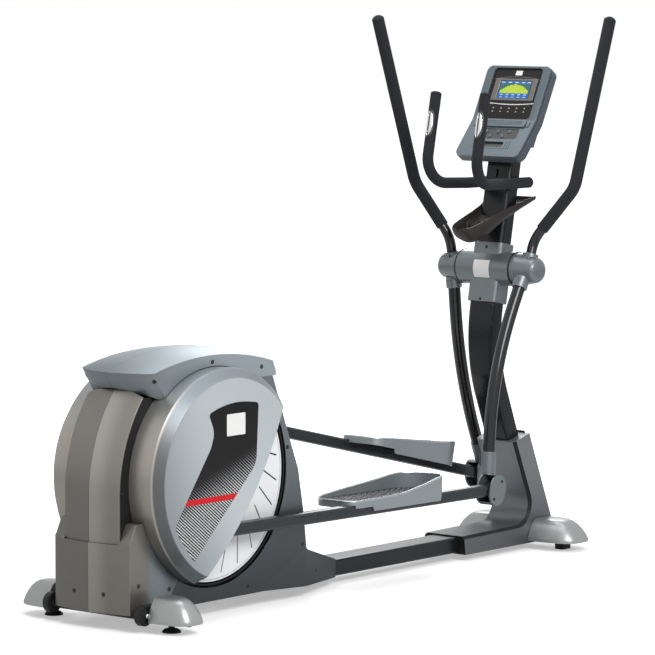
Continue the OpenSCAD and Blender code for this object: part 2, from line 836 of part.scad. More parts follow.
module swing_axle() {
    color("silver") translate([hub_x, 0, hub_z]) {
        rod_y(axle_r, -axle_end, axle_end);
        both_sides() ring_y(hub_r - 6, axle_r, hub_half, knuckle_in - seat_gap);
    }
}

// ---- Swing: drawn about the hub, X forwards, Y outwards, Z up along the lever.

module swing_frame(s) {
    translate([hub_x, 0, hub_z]) rotate([0, swing_angle(s), 0]) on_side(s) children();
}

bar_foot = [-4, 148, 18];
bar_points = [bar_foot, [-4, 148, 98], [1, 262, 274], [-29, 290, 821]];
bar_bends = [0, 110, 90, 0];
lever_top = [-18, 144, -30];
lever_end = [-9, 150, -620];
lever_points = [lever_top, [-68, 139, -350], lever_end];
lever_up = unit(lever_points[1] - lever_end);
lever_bends = [0, 1200, 0];
tube_wall = 2.5;
tube_fit = 0.1;

module knuckle(s) {
    color("#868d92") swing_frame(s) difference() {
        union() {
            rotate([-90, 0, 0]) rotate_extrude() polygon([[0, knuckle_in], [53, knuckle_in],
                [53, knuckle_in + 10], [40, knuckle_out - 12], [34, knuckle_out - 4],
                [24, knuckle_out], [0, knuckle_out]]);
            translate([bar_foot[0], bar_foot[1], 0]) cylinder(d = socket_d, h = 50);
            multmatrix(axes(lever_top, unit(lever_points[1] - lever_top),
                across(unit(lever_points[1] - lever_top)))) cylinder(d = socket_d, h = 36);
            translate([bar_foot[0] - 30, bar_foot[1] - 9, 22]) cube([26, 18, 26]);
            translate([lever_top[0] - 32, lever_top[1] - 9, -62]) cube([26, 18, 26]);
        }
        rod_y(axle_r + running_fit, 0, axle_end + 1);
        bent_bar([bar_foot, bar_foot + [0, 0, 60]], [0, 0], bar_d + 2 * tube_fit);
        bent_bar([lever_top, lever_points[1]], [0, 0], lever_d + 2 * tube_fit);
        translate([bar_foot[0] - 18, bar_foot[1] - 30, 35]) rotate([0, 0, 0])
            rotate([-90, 0, 0]) cylinder(r = 3, h = 60);
    }
}

module handlebar(s) {
    color("#141517") swing_frame(s) bent_tube(bar_points, bar_bends, bar_d, tube_wall);
}

// Foam sleeve from above the lower bend to the closed top of the bar.
grip_low = bar_points[1] + 0.2 * (bar_points[2] - bar_points[1]);

module grip(s) {
    top = bar_points[3];
    lean = unit(top - bar_points[2]);
    color("#26282b") swing_frame(s) difference() {
        union() {
            bent_bar([grip_low, bar_points[2], top], [0, bar_bends[2], 0], grip_d);
            multmatrix(axes(top - lap * lean, lean, across(lean))) rotate_extrude()
                intersection() {
                    square([grip_d / 2 - hair, grip_d / 2]);
                    translate([0, -grip_d / 4]) circle(grip_d * 0.56);
                }
        }
        bent_bar([bar_points[1], bar_points[2], top], [0, bar_bends[2], 0], bar_d);
    }
}

module lever(s) {
    color("#141517") swing_frame(s) bent_tube(lever_points, lever_bends, lever_d, tube_wall);
}

module fork_oval(inset) {
    for (z = [-1, 1]) translate([0, z * fork_straight / 2]) circle(fork_r - inset);
    square([2 * (fork_r - inset), fork_straight], center = true);
}

module fork(s) {
    color("#8b9297") swing_frame(s) translate([0, 0, -lever_len]) {
        difference() {
            union() {
                along_y(arm_y - fork_w / 2, arm_y + fork_w / 2) fork_oval(0);
                translate([0, 0, lever_len]) bent_bar([lever_end - 52 * lever_up,
                    lever_end + 26 * lever_up], [0, 0], socket_d - 4);
            }
            along_y(arm_y - fork_w / 2 + fork_wall, arm_y + fork_w / 2 - fork_wall) {
                fork_oval(5);
                translate([-fork_r, 0]) square([2 * fork_r, 2 * fork_r + fork_straight - 10],
                    center = true);
            }
            translate([0, 0, lever_len]) bent_bar([lever_end - over * lever_up,
                lever_end + 40 * lever_up], [0, 0], lever_d + 2 * tube_fit);
        }
        rod_y(fork_pin_r, arm_y - fork_w / 2, arm_y + fork_w / 2);
    }
}

// ---- Pedal arm: drawn about the fork pin, with the crank pin at -X.

module arm_frame(s) {
    translate([pivot(s)[0], 0, pivot(s)[1]]) rotate([0, arm_tilt(s), 0]) on_side(s) children();
}

module pedal_arm(s) {
    color("#59626a") arm_frame(s) difference() {
        union() {
            translate([-arm_len, arm_y, 0]) rotate([0, 90, 0]) linear_extrude(arm_len)
                difference() {
                    round_rect(arm_h, arm_w, arm_corner);
                    round_rect(arm_h - 2 * steel_wall, arm_w - 2 * steel_wall,
                        arm_corner - steel_wall);
                }
            rod_y(arm_h / 2 + 4, arm_in + 2, arm_out - 2);
            translate([-arm_len, 0, 0]) rod_y(arm_h / 2 + 6, arm_in, arm_out);
        }
        rod_y(fork_pin_r + running_fit, 0, wide);
    }
}

pedal_out = arm_out + seat_gap + pedal_wall;
pedal_in = pedal_out - pedal_w;
pedal_z = arm_h / 2;
pedal_heel = -pedal_back - pedal_l / 2;
pedal_toe = pedal_heel + pedal_l;
pedal_corners = [44, 100, 46, 44];
skirt_from = 98;
skirt_to = 34;

module pedal_plan(inset) {
    translate([pedal_heel + inset, pedal_in + inset]) plan_with_corners(
        pedal_l - 2 * inset, pedal_w - 2 * inset, [for (r = pedal_corners) r - inset]);
}

// Side outline of the pedal, whose rim passes through the given points between heel and toe.
module pedal_side(rim) {
    polygon(concat([[pedal_heel, -9], [pedal_heel + skirt_from, -9],
        [pedal_heel + skirt_from + 6, -23], [pedal_toe - skirt_to, -23],
        [pedal_toe - skirt_to + 7, -11], [pedal_toe, -11], [pedal_toe, pedal_toe_h],
        [pedal_toe - 8, pedal_toe_h]], rim,
        [[pedal_heel + 8, pedal_heel_h], [pedal_heel, pedal_heel_h]]));
}

// The rim rises to the toe, sooner on the inner side than on the outer, and a skirt hangs
// beside the arm. The floor lies on the arm.
module pedal(s) {
    color("#9aa3a9") arm_frame(s) translate([0, 0, pedal_z]) difference() {
        intersection() {
            translate([0, 0, -60]) linear_extrude(180) pedal_plan(0);
            union() {
                middle = (pedal_in + pedal_out) / 2;
                along_y(middle - lap, wide) pedal_side([[pedal_toe - 48, pedal_toe_h - 5],
                    [pedal_toe - 110, pedal_toe_h - 19], [pedal_toe - 208, pedal_heel_h + 6],
                    [pedal_heel + 150, pedal_heel_h + 2]]);
                along_y(0, middle) pedal_side([[pedal_toe - 60, pedal_toe_h],
                    [pedal_toe - 150, pedal_toe_h - 11], [pedal_heel + 110, pedal_heel_h + 12]]);
            }
        }
        translate([0, 0, pedal_floor]) linear_extrude(180) pedal_plan(pedal_wall);
        translate([0, 0, -61]) linear_extrude(61) pedal_plan(pedal_wall);
        translate([-arm_len, arm_in - 1, -61]) cube([arm_len, arm_w + 1 + seat_gap, 61]);
    }
}

module pedal_mat(s) {
    color("#242526") arm_frame(s) translate([0, 0, pedal_z + pedal_floor]) linear_extrude(mat_t)
        pedal_plan(pedal_wall + 3);
}

// ---- Crank set

arm_plate_in = 109;
arm_plate_t = 15;
crank_pin_r = 12;

module crank_axle() {
    color("silver") translate([crank_x, 0, crank_z]) {
        rod_y(crank_axle_r, -arm_plate_in - arm_plate_t, arm_plate_in + arm_plate_t);
        both_sides() ring_y(crank_axle_r + 4 - running_fit, crank_axle_r, plate_y - 8, plate_y + 14);
    }
}

module crank_arms() {
    color("#34373a") for (s = [right, left]) translate([crank_x, 0, crank_z]) on_side(s)
        rotate([0, -crank_angle + (s < 0 ? 180 : 0), 0]) difference() {
            union() {
                along_y(arm_plate_in, arm_plate_in + arm_plate_t) {
                    circle(32);
                    translate([crank_r, 0]) circle(24);
                    polygon([[0, -26], [crank_r, -20], [crank_r, 20], [0, 26]]);
                }
                translate([crank_r, 0, 0]) rod_y(crank_pin_r, arm_plate_in, arm_in - seat_gap);
            }
            rod_y(crank_axle_r, 0, wide);
        }
}

disc_t = 3;
slots = 24;
slot_in = 212;
slot_out = 283;
slot_sweep = 8.7;
slot_w = 4.4;
slot_phase = 7.3;
slot_from = slot_in * [cos(slot_sweep), sin(slot_sweep)];

// Slot whose outer end lags its inner end.
module swept_slot() {
    run = [slot_out, 0] - slot_from;
    along_y(0, disc_face + over) {
        translate(slot_from) rotate(atan2(run[1], run[0])) translate([0, -slot_w / 2])
            square([norm(run), slot_w]);
        for (p = [slot_from, [slot_out, 0]]) translate(p) circle(d = slot_w + 2 * hair);
    }
}

module crank_discs() {
    color("#e8eaec") for (s = [right, left]) translate([crank_x, 0, crank_z]) on_side(s)
        rotate([0, -crank_angle + (s < 0 ? 180 : 0), 0]) {
            difference() {
                rod_y(disc_r, disc_face - disc_t, disc_face);
                translate([crank_r, 0, 0]) rod_y(crank_pin_r + 1, 0, wide);
                for (i = [0 : slots - 1])
                    rotate([0, crank_angle - slot_phase - i * 360 / slots, 0]) swept_slot();
            }
            ring_y(disc_r, disc_r - 3, disc_face - disc_t - 7, disc_face - disc_t);
            ring_y(40, 20, arm_plate_in + arm_plate_t, disc_face - disc_t);
        }
}

module drive_pulley() {
    color("#3c4043") translate([crank_x, 0, crank_z]) {
        difference() {
            rod_y(pulley_r, -belt_w / 2 - 1, belt_w / 2 + 1);
            ring_y(pulley_r - 14, 46, 5, belt_w);
            ring_y(pulley_r - 14, 46, -belt_w, -5);
            for (a = [0 : 60 : 300]) rotate([0, a, 0]) translate([(pulley_r + 30) / 2, 0, 0])
                rod_y(28, -belt_w, belt_w);
            rod_y(crank_axle_r, -wide, wide);
        }
        for (y = [-belt_w / 2 - 3, belt_w / 2 + 1]) ring_y(pulley_r + belt_t, pulley_r - 8, y, y + 2);
        both_sides() ring_y(40, crank_axle_r, belt_w / 2 + 1, belt_w / 2 + 12);
    }
}

// Belt round one pulley at c, on the side away from the direction `to`.
module belt_wrap(c, r, to) {
    k = 3 * pulley_r;
    translate(c) difference() {
        circle(r + belt_t);
        circle(r + running_fit);
        polygon([[0, 0], k * run_up, k * run_up + k * to, k * run_low + k * to, k * run_low]);
    }
}

// Straight run between the pulleys on the side that n points to. It is a skin thinner than
// the wraps and laps into both.
belt_skin = 0.3;
big_lap = 4;
small_lap = 3;

module belt_run(n) {
    ends = [[crank_x, crank_z] + pulley_r * n, [gen_x, gen_z] + gen_pulley_r * n];
    u = unit(ends[1] - ends[0]);
    inner = running_fit + belt_skin;
    outer = belt_t - belt_skin;
    polygon([ends[0] + inner * n - big_lap * u, ends[0] + outer * n - big_lap * u,
        ends[1] + outer * n + small_lap * u, ends[1] + inner * n + small_lap * u]);
}

module drive_belt() {
    color("#111111") {
        along_y(-belt_w / 2, belt_w / 2) belt_wrap([crank_x, crank_z], pulley_r, belt_dir);
        along_y(-belt_w / 2, belt_w / 2) belt_wrap([gen_x, gen_z], gen_pulley_r, -belt_dir);
        for (n = [run_up, run_low]) along_y(-belt_w / 2 + hair, belt_w / 2 - hair) belt_run(n);
    }
}

module generator_rotor() {
    color("#b87333") translate([gen_x, 0, gen_z]) difference() {
        union() {
            rod_y(rotor_r, belt_w / 2 + 10, gen_plate_out - 8);
            rod_y(gen_pulley_r, -belt_w / 2 - 1, belt_w / 2 + 10);
            rod_y(gen_pulley_r + belt_t + 2, -belt_w / 2 - 4, -belt_w / 2 - 1);
            rod_y(14, gen_plate_in + seat_gap, -belt_w / 2 - 4);
            rod_y(14, gen_plate_out - 8, gen_plate_out - seat_gap);
        }
        ring_y(rotor_r - 12, 30, gen_plate_out - 14, gen_plate_out);
        rod_y(gen_axle_r + running_fit, -wide, wide);
    }
}

module idler_roller() {
    color("#d9d9d9") translate([idler_at[0], 0, idler_at[1]]) {
        ring_y(idler_r, idler_axle_r + running_fit, -belt_w / 2, belt_w / 2);
        ring_y(10, idler_axle_r + running_fit, belt_w / 2, plate_y - seat_gap);
    }
}

// ---- Fixed handlebar and tray

cross_bolt_r = 6;
mast_side = mast_w / 2;
run_y = mast_side + fixed_grip_d / 2 + 1;
fixed_x = mast_x_at(fixed_z);
fixed_points = [[fixed_x + 52, run_y, fixed_z], [fixed_x - 90, run_y, fixed_z],
    [582, fixed_y, fixed_z + 6], [640, fixed_y, 1462]];
fixed_bends = [0, 200, 78, 0];

module fixed_handlebar() {
    color("#141517") difference() {
        union() {
            both_sides() bent_bar(fixed_points, fixed_bends, fixed_d);
            translate([fixed_x, 0, fixed_z]) rod_y(cross_bolt_r, -run_y, run_y);
            both_sides() translate([fixed_x, 0, fixed_z])
                rod_y(11, mast_side, run_y);
        }
    }
}

module fixed_grips() {
    color("#3a3d41") both_sides() difference() {
        union() {
            bent_bar(fixed_points, fixed_bends, fixed_grip_d);
            translate([fixed_x + 52, run_y, fixed_z]) rotate([0, 90, 0])
                cylinder(d1 = fixed_grip_d, d2 = fixed_grip_d - 8, h = 6);
        }
        bent_bar(fixed_points, fixed_bends, fixed_d, over);
        translate([fixed_x, 0, fixed_z]) rod_y(11, 0, run_y);
        sensor_strips(seat_gap, fixed_grip_d / 2 - sensor_t, fixed_grip_d);
    }
}

sensor_l = 82;
sensor_w = 28;
sensor_t = 2;
sensor_bar = 7;
sensor_proud = 1;
sensor_dir = unit(fixed_points[3] - fixed_points[2]);
sensor_at = fixed_points[2] + 0.66 * (fixed_points[3] - fixed_points[2]);

// Oval piece of a sleeve round the upright, facing the user.
module sensor_patch(grow, r_in, r_out) {
    multmatrix(axes(sensor_at, sensor_dir, [0, 1, 0])) intersection() {
        difference() {
            cylinder(r = r_out, h = 2 * sensor_l, center = true);
            cylinder(r = r_in, h = 3 * sensor_l, center = true);
        }
        rotate([-90, 0, 0]) linear_extrude(2 * fixed_grip_d)
            round_rect(sensor_w + 2 * grow, sensor_l + 2 * grow, sensor_w / 2 - over);
    }
}

// The two halves of the oval, on either side of a bar of foam.
module sensor_strips(grow, r_in, r_out) {
    difference() {
        sensor_patch(grow, r_in, r_out);
        translate([0, fixed_y - sensor_bar / 2 + grow, 0])
            cube([wide, sensor_bar - 2 * grow, wide]);
    }
}

// Pulse sensor plates, set in the rear of the foam.
module pulse_sensors() {
    color("#c8ccd0") both_sides() sensor_strips(0, fixed_grip_d / 2 - sensor_t + seat_gap,
        fixed_grip_d / 2 + sensor_proud);
}

tray_l = 300;
tray_half = 92;
tray_rise = 18.4;
tray_at = [629, 0, 1041];
tray_t = 3;

module tray_block(inset) {
    side_r = 260;
    intersection() {
        translate([0, 0, -120]) linear_extrude(120 + (inset > 0 ? over : 0)) intersection() {
            for (y = [side_r - tray_half, tray_half - side_r]) translate([tray_l * 0.55, y])
                circle(side_r - inset, $fn = 180);
            translate([inset, -wide / 2]) square([tray_l - 2 * inset, wide]);
        }
        along_y(-tray_half, tray_half) polygon([[0, -6 + inset], [26, -48 + inset],
            [56, -66 + inset], [95, -67 + inset], [150, -54 + inset], [tray_l, -22 + inset],
            [tray_l, over], [0, over]]);
    }
}

module accessory_tray() {
    color("#2c2523") difference() {
        translate(tray_at) rotate([0, -tray_rise, 0]) difference() {
            tray_block(0);
            tray_block(tray_t);
        }
        mast_solid(-seat_gap);
    }
}

// ---- Console: drawn about the fold of its face, X forwards through it and Z up.

fold = [866, 1380];
low_lean = 41;
high_lean = 26.5;
low_l = 149;
high_l = 188;

function from_fold(lean, up, back) = fold + up * [sin(lean), cos(lean)] + back * [cos(lean), -sin(lean)];

bezel_t = 10;
console_corner = 24;
fascia_depth = 7;
fascia_half = 97;
fascia_low = 2;
fascia_top = 181;
screen_w = 164;
screen_h = 74;
screen_up = 107;
screen_fit = 0.2;
screen_back = 8;

// Rear shell, with the neck that holds the mast.
module console_housing() {
    neck_half = 76;
    color("#5e6b78") difference() {
        union() {
            console_slab(console_half, bezel_t, console_t);
            along_y(-neck_half, neck_half) polygon([from_fold(low_lean, -120, console_t - over),
                from_fold(high_lean, 150, console_t - over), from_fold(high_lean, 120, console_t + 44),
                [fold[0] + 92, fold[1] - 20], [mast_x_at(1290) + 44, 1290],
                [mast_x_at(1290) - 36, 1290]]);
        }
        mast_solid(-seat_gap);
        key_bores();
    }
}

// Where the two faces meet, at a depth behind them.
function fold_at(depth) = let (bisect = (low_lean + high_lean) / 2)
    fold + depth / cos((low_lean - high_lean) / 2) * [cos(bisect), -sin(bisect)];

// Two plates that meet at the fold, between two depths behind the face.
module console_slab(half, front, back) {
    intersection() {
        along_y(-half, half) polygon([from_fold(low_lean, -low_l, front), fold_at(front),
            from_fold(high_lean, high_l, front), from_fold(high_lean, high_l, back), fold_at(back),
            from_fold(low_lean, -low_l, back)]);
        translate([fold[0], 0, fold[1]]) rotate([0, (low_lean + high_lean) / 2 + 90, 0])
            linear_extrude(wide, center = true) translate([-(high_l - low_l) / 2, 0])
                round_rect(high_l + low_l, 2 * half, console_corner);
    }
}

// Bezel with the sunk fascia, the book ledge at the fold and the sunk key panel.
module console_bezel() {
    color("#8d99a5") difference() {
        union() {
            console_slab(console_half - 4, 0, bezel_t);
            low_face(ledge_down, 0) translate([0, 0, -over]) linear_extrude(ledge_rise + over)
                round_rect(2 * fascia_half, ledge_w, 8);
            for (y = [-1, 1]) low_face(ledge_down, y * (fascia_half + 8))
                translate([0, 0, -over]) linear_extrude(ledge_rise / 2 + over) round_rect(10, 20, 4);
        }
        high_face((fascia_low + fascia_top) / 2, 0) translate([0, 0, -fascia_depth])
            linear_extrude(2 * fascia_depth)
                round_rect(2 * fascia_half, fascia_top - fascia_low, 14);
        screen_block(screen_fit);
        low_face(key_panel_down, 0) translate([0, 0, -key_panel_depth])
            linear_extrude(2 * key_panel_depth) round_rect(key_panel_w, key_panel_h, 8);
        low_face(slot_down, 0) translate([0, 0, -bezel_t + 3]) linear_extrude(bezel_t)
            round_rect(90, 21, 6);
        low_face(126, 0) translate([0, 0, -0.8]) linear_extrude(2) round_rect(116, 17, 4);
        for (s = [-1, 1], i = [0 : 2], j = [0 : 3])
            low_face(91 + j * speaker_pitch, s * (55.5 + i * speaker_pitch))
                translate([0, 0, -bezel_t / 2]) cylinder(r = speaker_r, h = bezel_t, $fn = 24);
        key_bores();
    }
}

ledge_down = 18;
ledge_w = 28;
ledge_rise = 6;
key_panel_down = 58.5;
key_panel_w = 166;
key_panel_h = 41;
key_panel_depth = 1.5;
slot_down = 101;
speaker_pitch = 8;
speaker_r = 2;

// Frames on the two faces: X to the user's left, Y down the face and Z out of it.
module high_face(up, y) {
    translate([fold[0], y, fold[1]]) rotate([0, high_lean, 0]) translate([0, 0, up])
        rotate([0, -90, 0]) rotate([0, 0, 90]) children();
}

module low_face(down, y) {
    translate([fold[0], y, fold[1]]) rotate([0, low_lean, 0]) translate([0, 0, -down])
        rotate([0, -90, 0]) rotate([0, 0, 90]) children();
}

module screen_block(grow) {
    high_face(screen_up, 0) translate([0, 0, -bezel_t]) linear_extrude(bezel_t)
        round_rect(screen_w + 2 * grow, screen_h + 2 * grow, 5);
}

module console_screen() {
    color("#2d6fc4") intersection() {
        screen_block(0);
        console_slab(console_half, screen_back, bezel_t);
    }
}

key_travel = 1.2;
key_depth = 15;
key_fit = 0.4;
// Places of the keys on the lower face: to the user's left, and down from the fold.
keys = [[45, 49], [0, 49], [-45, 49], [24, 68], [-24, 68]];

module key_bores() {
    for (k = keys) low_face(k[1], k[0]) translate([0, 0, -key_depth - key_travel - seat_gap])
        cylinder(r = key_r + key_fit, h = 2 * key_depth + key_travel);
}

module console_key(k) {
    low_face(keys[k][1], keys[k][0]) translate([0, 0, -key_depth])
        cylinder(r = key_r, h = key_depth + key_h);
}

base_beam();
rear_stabiliser();
front_stabiliser();
crank_frame();
mast();
base_shroud();
rear_spine();
top_cover();
side_panels();
front_shroud();
beam_shroud();
crank_cover(right);  // crank_cover_right
crank_cover(left);  // crank_cover_left
mast_shroud();
mast_trim();
rear_caps();
front_caps();
front_pads();
hub_barrel();
swing_axle();
accessory_tray();
fixed_handlebar();
fixed_grips();
pulse_sensors();
console_housing();
console_bezel();
console_screen();
crank_bearings();
drive_belt();
console_key(0);  // resistance_up_key
console_key(1);  // resistance_down_key
console_key(2);  // mode_key
console_key(3);  // start_key
console_key(4);  // stop_key
crank_axle();
crank_arms();
crank_discs();
drive_pulley();
generator_rotor();
idler_roller();
transport_wheel(right);  // transport_wheel_right
transport_wheel(left);  // transport_wheel_left
levelling_foot(right);  // levelling_foot_right
levelling_foot(left);  // levelling_foot_left
knuckle(right);  // knuckle_right
knuckle(left);  // knuckle_left
handlebar(right);  // handlebar_right
handlebar(left);  // handlebar_left
grip(right);  // grip_right
grip(left);  // grip_left
lever(right);  // lever_right
lever(left);  // lever_left
fork(right);  // fork_right
fork(left);  // fork_left
pedal_arm(right);  // pedal_arm_right
pedal_arm(left);  // pedal_arm_left
pedal(right);  // pedal_right
pedal(left);  // pedal_left
pedal_mat(right);  // pedal_mat_right
pedal_mat(left);  // pedal_mat_left
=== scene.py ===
"""Elliptical trainer: finishes, printed panels, display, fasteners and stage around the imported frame."""

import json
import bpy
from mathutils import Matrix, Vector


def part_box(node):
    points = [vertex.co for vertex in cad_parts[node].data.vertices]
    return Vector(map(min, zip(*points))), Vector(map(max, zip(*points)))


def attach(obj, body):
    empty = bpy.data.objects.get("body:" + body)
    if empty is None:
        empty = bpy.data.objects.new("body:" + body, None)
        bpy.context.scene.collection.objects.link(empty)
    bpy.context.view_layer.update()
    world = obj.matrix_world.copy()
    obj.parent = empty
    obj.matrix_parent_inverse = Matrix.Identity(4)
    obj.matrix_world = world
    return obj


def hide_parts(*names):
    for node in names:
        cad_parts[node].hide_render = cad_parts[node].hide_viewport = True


bl_info = {
    "name": "Elliptical Trainer",
    "version": (1, 0, 0),
    "blender": (4, 5, 0),
    "location": "View3D > Sidebar > Trainer",
    "description": "Finishes, printed panels, display, fasteners and stage of an elliptical trainer",
    "category": "Object",
}

from math import acos, atan2, copysign, cos, pi, radians, sin, tan

import bmesh
import bpy
from mathutils import Matrix, Vector

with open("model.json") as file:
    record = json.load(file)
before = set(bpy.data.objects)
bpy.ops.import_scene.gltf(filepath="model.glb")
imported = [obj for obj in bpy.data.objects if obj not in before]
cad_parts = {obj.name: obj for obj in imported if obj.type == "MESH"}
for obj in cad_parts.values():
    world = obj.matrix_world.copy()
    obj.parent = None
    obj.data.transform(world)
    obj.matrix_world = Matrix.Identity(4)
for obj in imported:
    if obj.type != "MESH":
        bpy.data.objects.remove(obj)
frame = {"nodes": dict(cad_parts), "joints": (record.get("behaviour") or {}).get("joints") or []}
NODES = frame["nodes"]
JOINTS = {joint["name"]: Vector(joint["pos_m"]) for joint in frame["joints"] if joint["type"] == "hinge"}
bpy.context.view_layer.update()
KEYS = [name for name in NODES if name.endswith("_key")]

CRANK = JOINTS["crank_spin"]
HUB = Vector((JOINTS["right_swing"].x, 0, JOINTS["right_swing"].z))
CRANK_THROW = 0.262
CRANK_LEAN = radians(35)
SIDES = {"right": -1, "left": 1}
UP = Vector((0, 0, 1))
AHEAD = Vector((1, 0, 0))
LEFTWARD = Vector((0, 1, 0))

# The console's face folds here, and leans back by these angles below and above the fold.
FOLD = Vector((0.866, 0, 1.380))
LOW_LEAN = radians(41)
HIGH_LEAN = radians(26.5)


# ---- Sizes and colours a user would change


def colour(name, description, default):
    return bpy.props.FloatVectorProperty(
        name=name, description=description, default=default, size=3, min=0, max=1, subtype="COLOR"
    )


def value(name, description, default, **limits):
    limits = {"min": 0, **limits}
    return bpy.props.FloatProperty(name=name, description=description, default=default, **limits)


def length(name, description, default):
    return value(name, description, default, unit="LENGTH", precision=4)


def angle(name, description, degrees):
    return bpy.props.FloatProperty(
        name=name, description=description, default=radians(degrees), subtype="ANGLE"
    )


def factor(name, description, default):
    return value(name, description, default, max=1, subtype="FACTOR")


class TrainerPaints(bpy.types.PropertyGroup):
    """Colours of the painted, moulded and printed surfaces."""

    housing: colour("Housing", "Champagne silver of the rear housing", (0.30, 0.288, 0.258))
    top: colour("Top cover", "Blue grey silver of the top cover", (0.25, 0.285, 0.305))
    cover: colour("Crank cover", "Light silver of the crank covers", (0.43, 0.47, 0.49))
    slate: colour("Front shroud", "Dark slate of the front shrouds", (0.165, 0.185, 0.20))
    foot: colour("Mast shroud", "Purple grey of the shroud at the foot of the mast", (0.20, 0.205, 0.22))
    caps: colour("End caps", "Silver of the stabiliser caps", (0.34, 0.35, 0.35))
    cast: colour("Castings", "Grey of the hub, knuckles and forks", (0.15, 0.17, 0.18))
    tube: colour("Tubes", "Black gloss of the swing tubes and mast", (0.006, 0.007, 0.009))
    beam: colour("Beam", "Dark grey of the base beam", (0.015, 0.018, 0.022))
    arm: colour("Pedal arms", "Slate of the pedal arms", (0.026, 0.031, 0.036))
    pedal: colour("Pedals", "Silver grey of the pedals", (0.25, 0.28, 0.295))
    foam: colour("Foam", "Black of the foam grips", (0.013, 0.0145, 0.019))
    tray: colour("Tray", "Brown black of the accessory tray", (0.030, 0.026, 0.025))
    shell: colour("Console shell", "Blue grey of the console's rear shell", (0.06, 0.078, 0.095))
    bezel: colour("Console bezel", "Blue grey of the console's frame", (0.082, 0.108, 0.128))
    fascia: colour("Fascia", "Brown black of the console's printed face", (0.012, 0.0105, 0.0095))
    disc: colour("Crank disc", "White of the crank discs", (0.80, 0.81, 0.83))
    accent: colour("Accent", "Red band of the printed panels", (0.58, 0.006, 0.012))
    rubber: colour("Rubber", "Black of feet, pads and mats", (0.013, 0.013, 0.014))


class TrainerPanel(bpy.types.PropertyGroup):
    """The printed panel on each crank cover."""

    film: length("Film", "Thickness of the printed film", 0.0004)
    pitch: length("Stripe pitch", "Distance between the diagonal stripes", 0.00746)
    band: length("Band", "Height of the red band", 0.0165)
    plate_w: length("Plate width", "Width of the bare white plate", 0.080)
    plate_h: length("Plate height", "Height of the bare white plate", 0.063)


class TrainerFasteners(bpy.types.PropertyGroup):
    """Cross recessed screws of the shrouds and castings."""

    head: length("Head radius", "Radius of a shroud screw's head", 0.0064)
    dome: length("Dome", "Height of a screw's head", 0.0018)
    small: length("Small head radius", "Radius of a casting screw's head", 0.0048)


class TrainerDisplay(bpy.types.PropertyGroup):
    """The lit picture behind the console's window."""

    bars: bpy.props.IntProperty(name="Bars", description="Columns of the course profile", default=20, min=4, max=40)
    glow: value("Glow", "Brightness of the lit picture", 0.85)
    width: length("Picture width", "Width of the lit picture", 0.122)
    height: length("Picture height", "Height of the lit picture", 0.060)


class TrainerTread(bpy.types.PropertyGroup):
    """Raised pattern of the pedal mats."""

    pitch: length("Pitch", "Distance between the rows of bars", 0.0135)
    rise: length("Rise", "Height of a bar", 0.0018)


class TrainerStage(bpy.types.PropertyGroup):
    """Camera, lamps and floor."""

    azimuth: angle("Azimuth", "Where the camera stands around the trainer", -50.038)
    elevation: angle("Elevation", "How far the camera looks down", 5.454)
    distance: length("Distance", "From the camera to its target", 11.459)
    lens: value("Lens", "Focal length in millimetres", 208.7, min=1)
    floor: length("Floor", "Half the width of the floor", 30.0)
    lift: factor("Floor lift", "Glow of the floor beside the trainer, as the camera sees it", 0.42)
    mirrored: factor("Mirrored floor", "Glow of the floor in reflections", 0.15)
    key: value("Key lamp", "Power of the key lamp in watts", 170)
    top: value("Top lamp", "Power of the lamp overhead in watts", 100)
    rim: value("Rim lamp", "Power of the lamp ahead in watts", 60)
    sky: factor("Sky", "Strength of the light from all round", 0.27)


def paints():
    return bpy.context.scene.trainer_paints


# ---- Shapes


def axes_at(origin, x, y, z):
    """Matrix at a point, whose X, Y and Z run along three directions."""
    return Matrix.Translation(origin) @ Matrix((x, y, z)).transposed().to_4x4()


def frame_at(origin, across, up):
    """Matrix whose X runs across, Y up and Z out of the surface."""
    across, up = Vector(across).normalized(), Vector(up).normalized()
    return axes_at(origin, across, up, across.cross(up))


def beside(x, y, z):
    """Matrix at a point of the left side: X forwards, Y up and Z outwards."""
    return axes_at((x, y, z), AHEAD, UP, LEFTWARD)


def facing(point, normal):
    """Matrix at a point of a surface, with Z along its normal."""
    normal = Vector(normal).normalized()
    across = UP.cross(normal)
    if across.length < 0.01:
        across = LEFTWARD.cross(normal)
    across.normalize()
    return frame_at(point, across, normal.cross(across))


def bands(count, levels, closed=False):
    """Faces that join rings of equally many points into a skin, and the last ring to the first if it is closed."""
    faces = []
    for level in range(levels if closed else levels - 1):
        a, b = level * count, (level + 1) % levels * count
        faces += [(a + i, a + (i + 1) % count, b + (i + 1) % count, b + i) for i in range(count)]
    return faces


def end_faces(count, levels):
    """The faces that close the first and the last ring of a skin."""
    return [tuple(range(count))[::-1], tuple(range(count * (levels - 1), count * levels))]


def around(radius, turn, height):
    """Point at an angle round Z."""
    return Vector((radius * cos(turn), radius * sin(turn), height))


def rounded(corners, steps=6):
    """Outline through corners (x, y, radius), with each corner rounded."""
    outline = []
    for index, (x, y, radius) in enumerate(corners):
        corner = Vector((x, y))
        back = (Vector(corners[index - 1][:2]) - corner).normalized()
        on = (Vector(corners[(index + 1) % len(corners)][:2]) - corner).normalized()
        half = acos(max(-1, min(1, back.dot(on)))) / 2
        if radius <= 0 or half > 1.56:
            outline.append(corner)
            continue
        centre = corner + (back + on).normalized() * radius / sin(half)
        first = corner + back * radius / tan(half) - centre
        last = corner + on * radius / tan(half) - centre
        sweep = first.angle_signed(last)
        for step in range(steps + 1):
            outline.append(centre + Matrix.Rotation(-sweep * step / steps, 2) @ first)
    return outline


def box_outline(width, height, radius=0.0):
    w, h = width / 2, height / 2
    return rounded([(-w, -h, radius), (w, -h, radius), (w, h, radius), (-w, h, radius)])


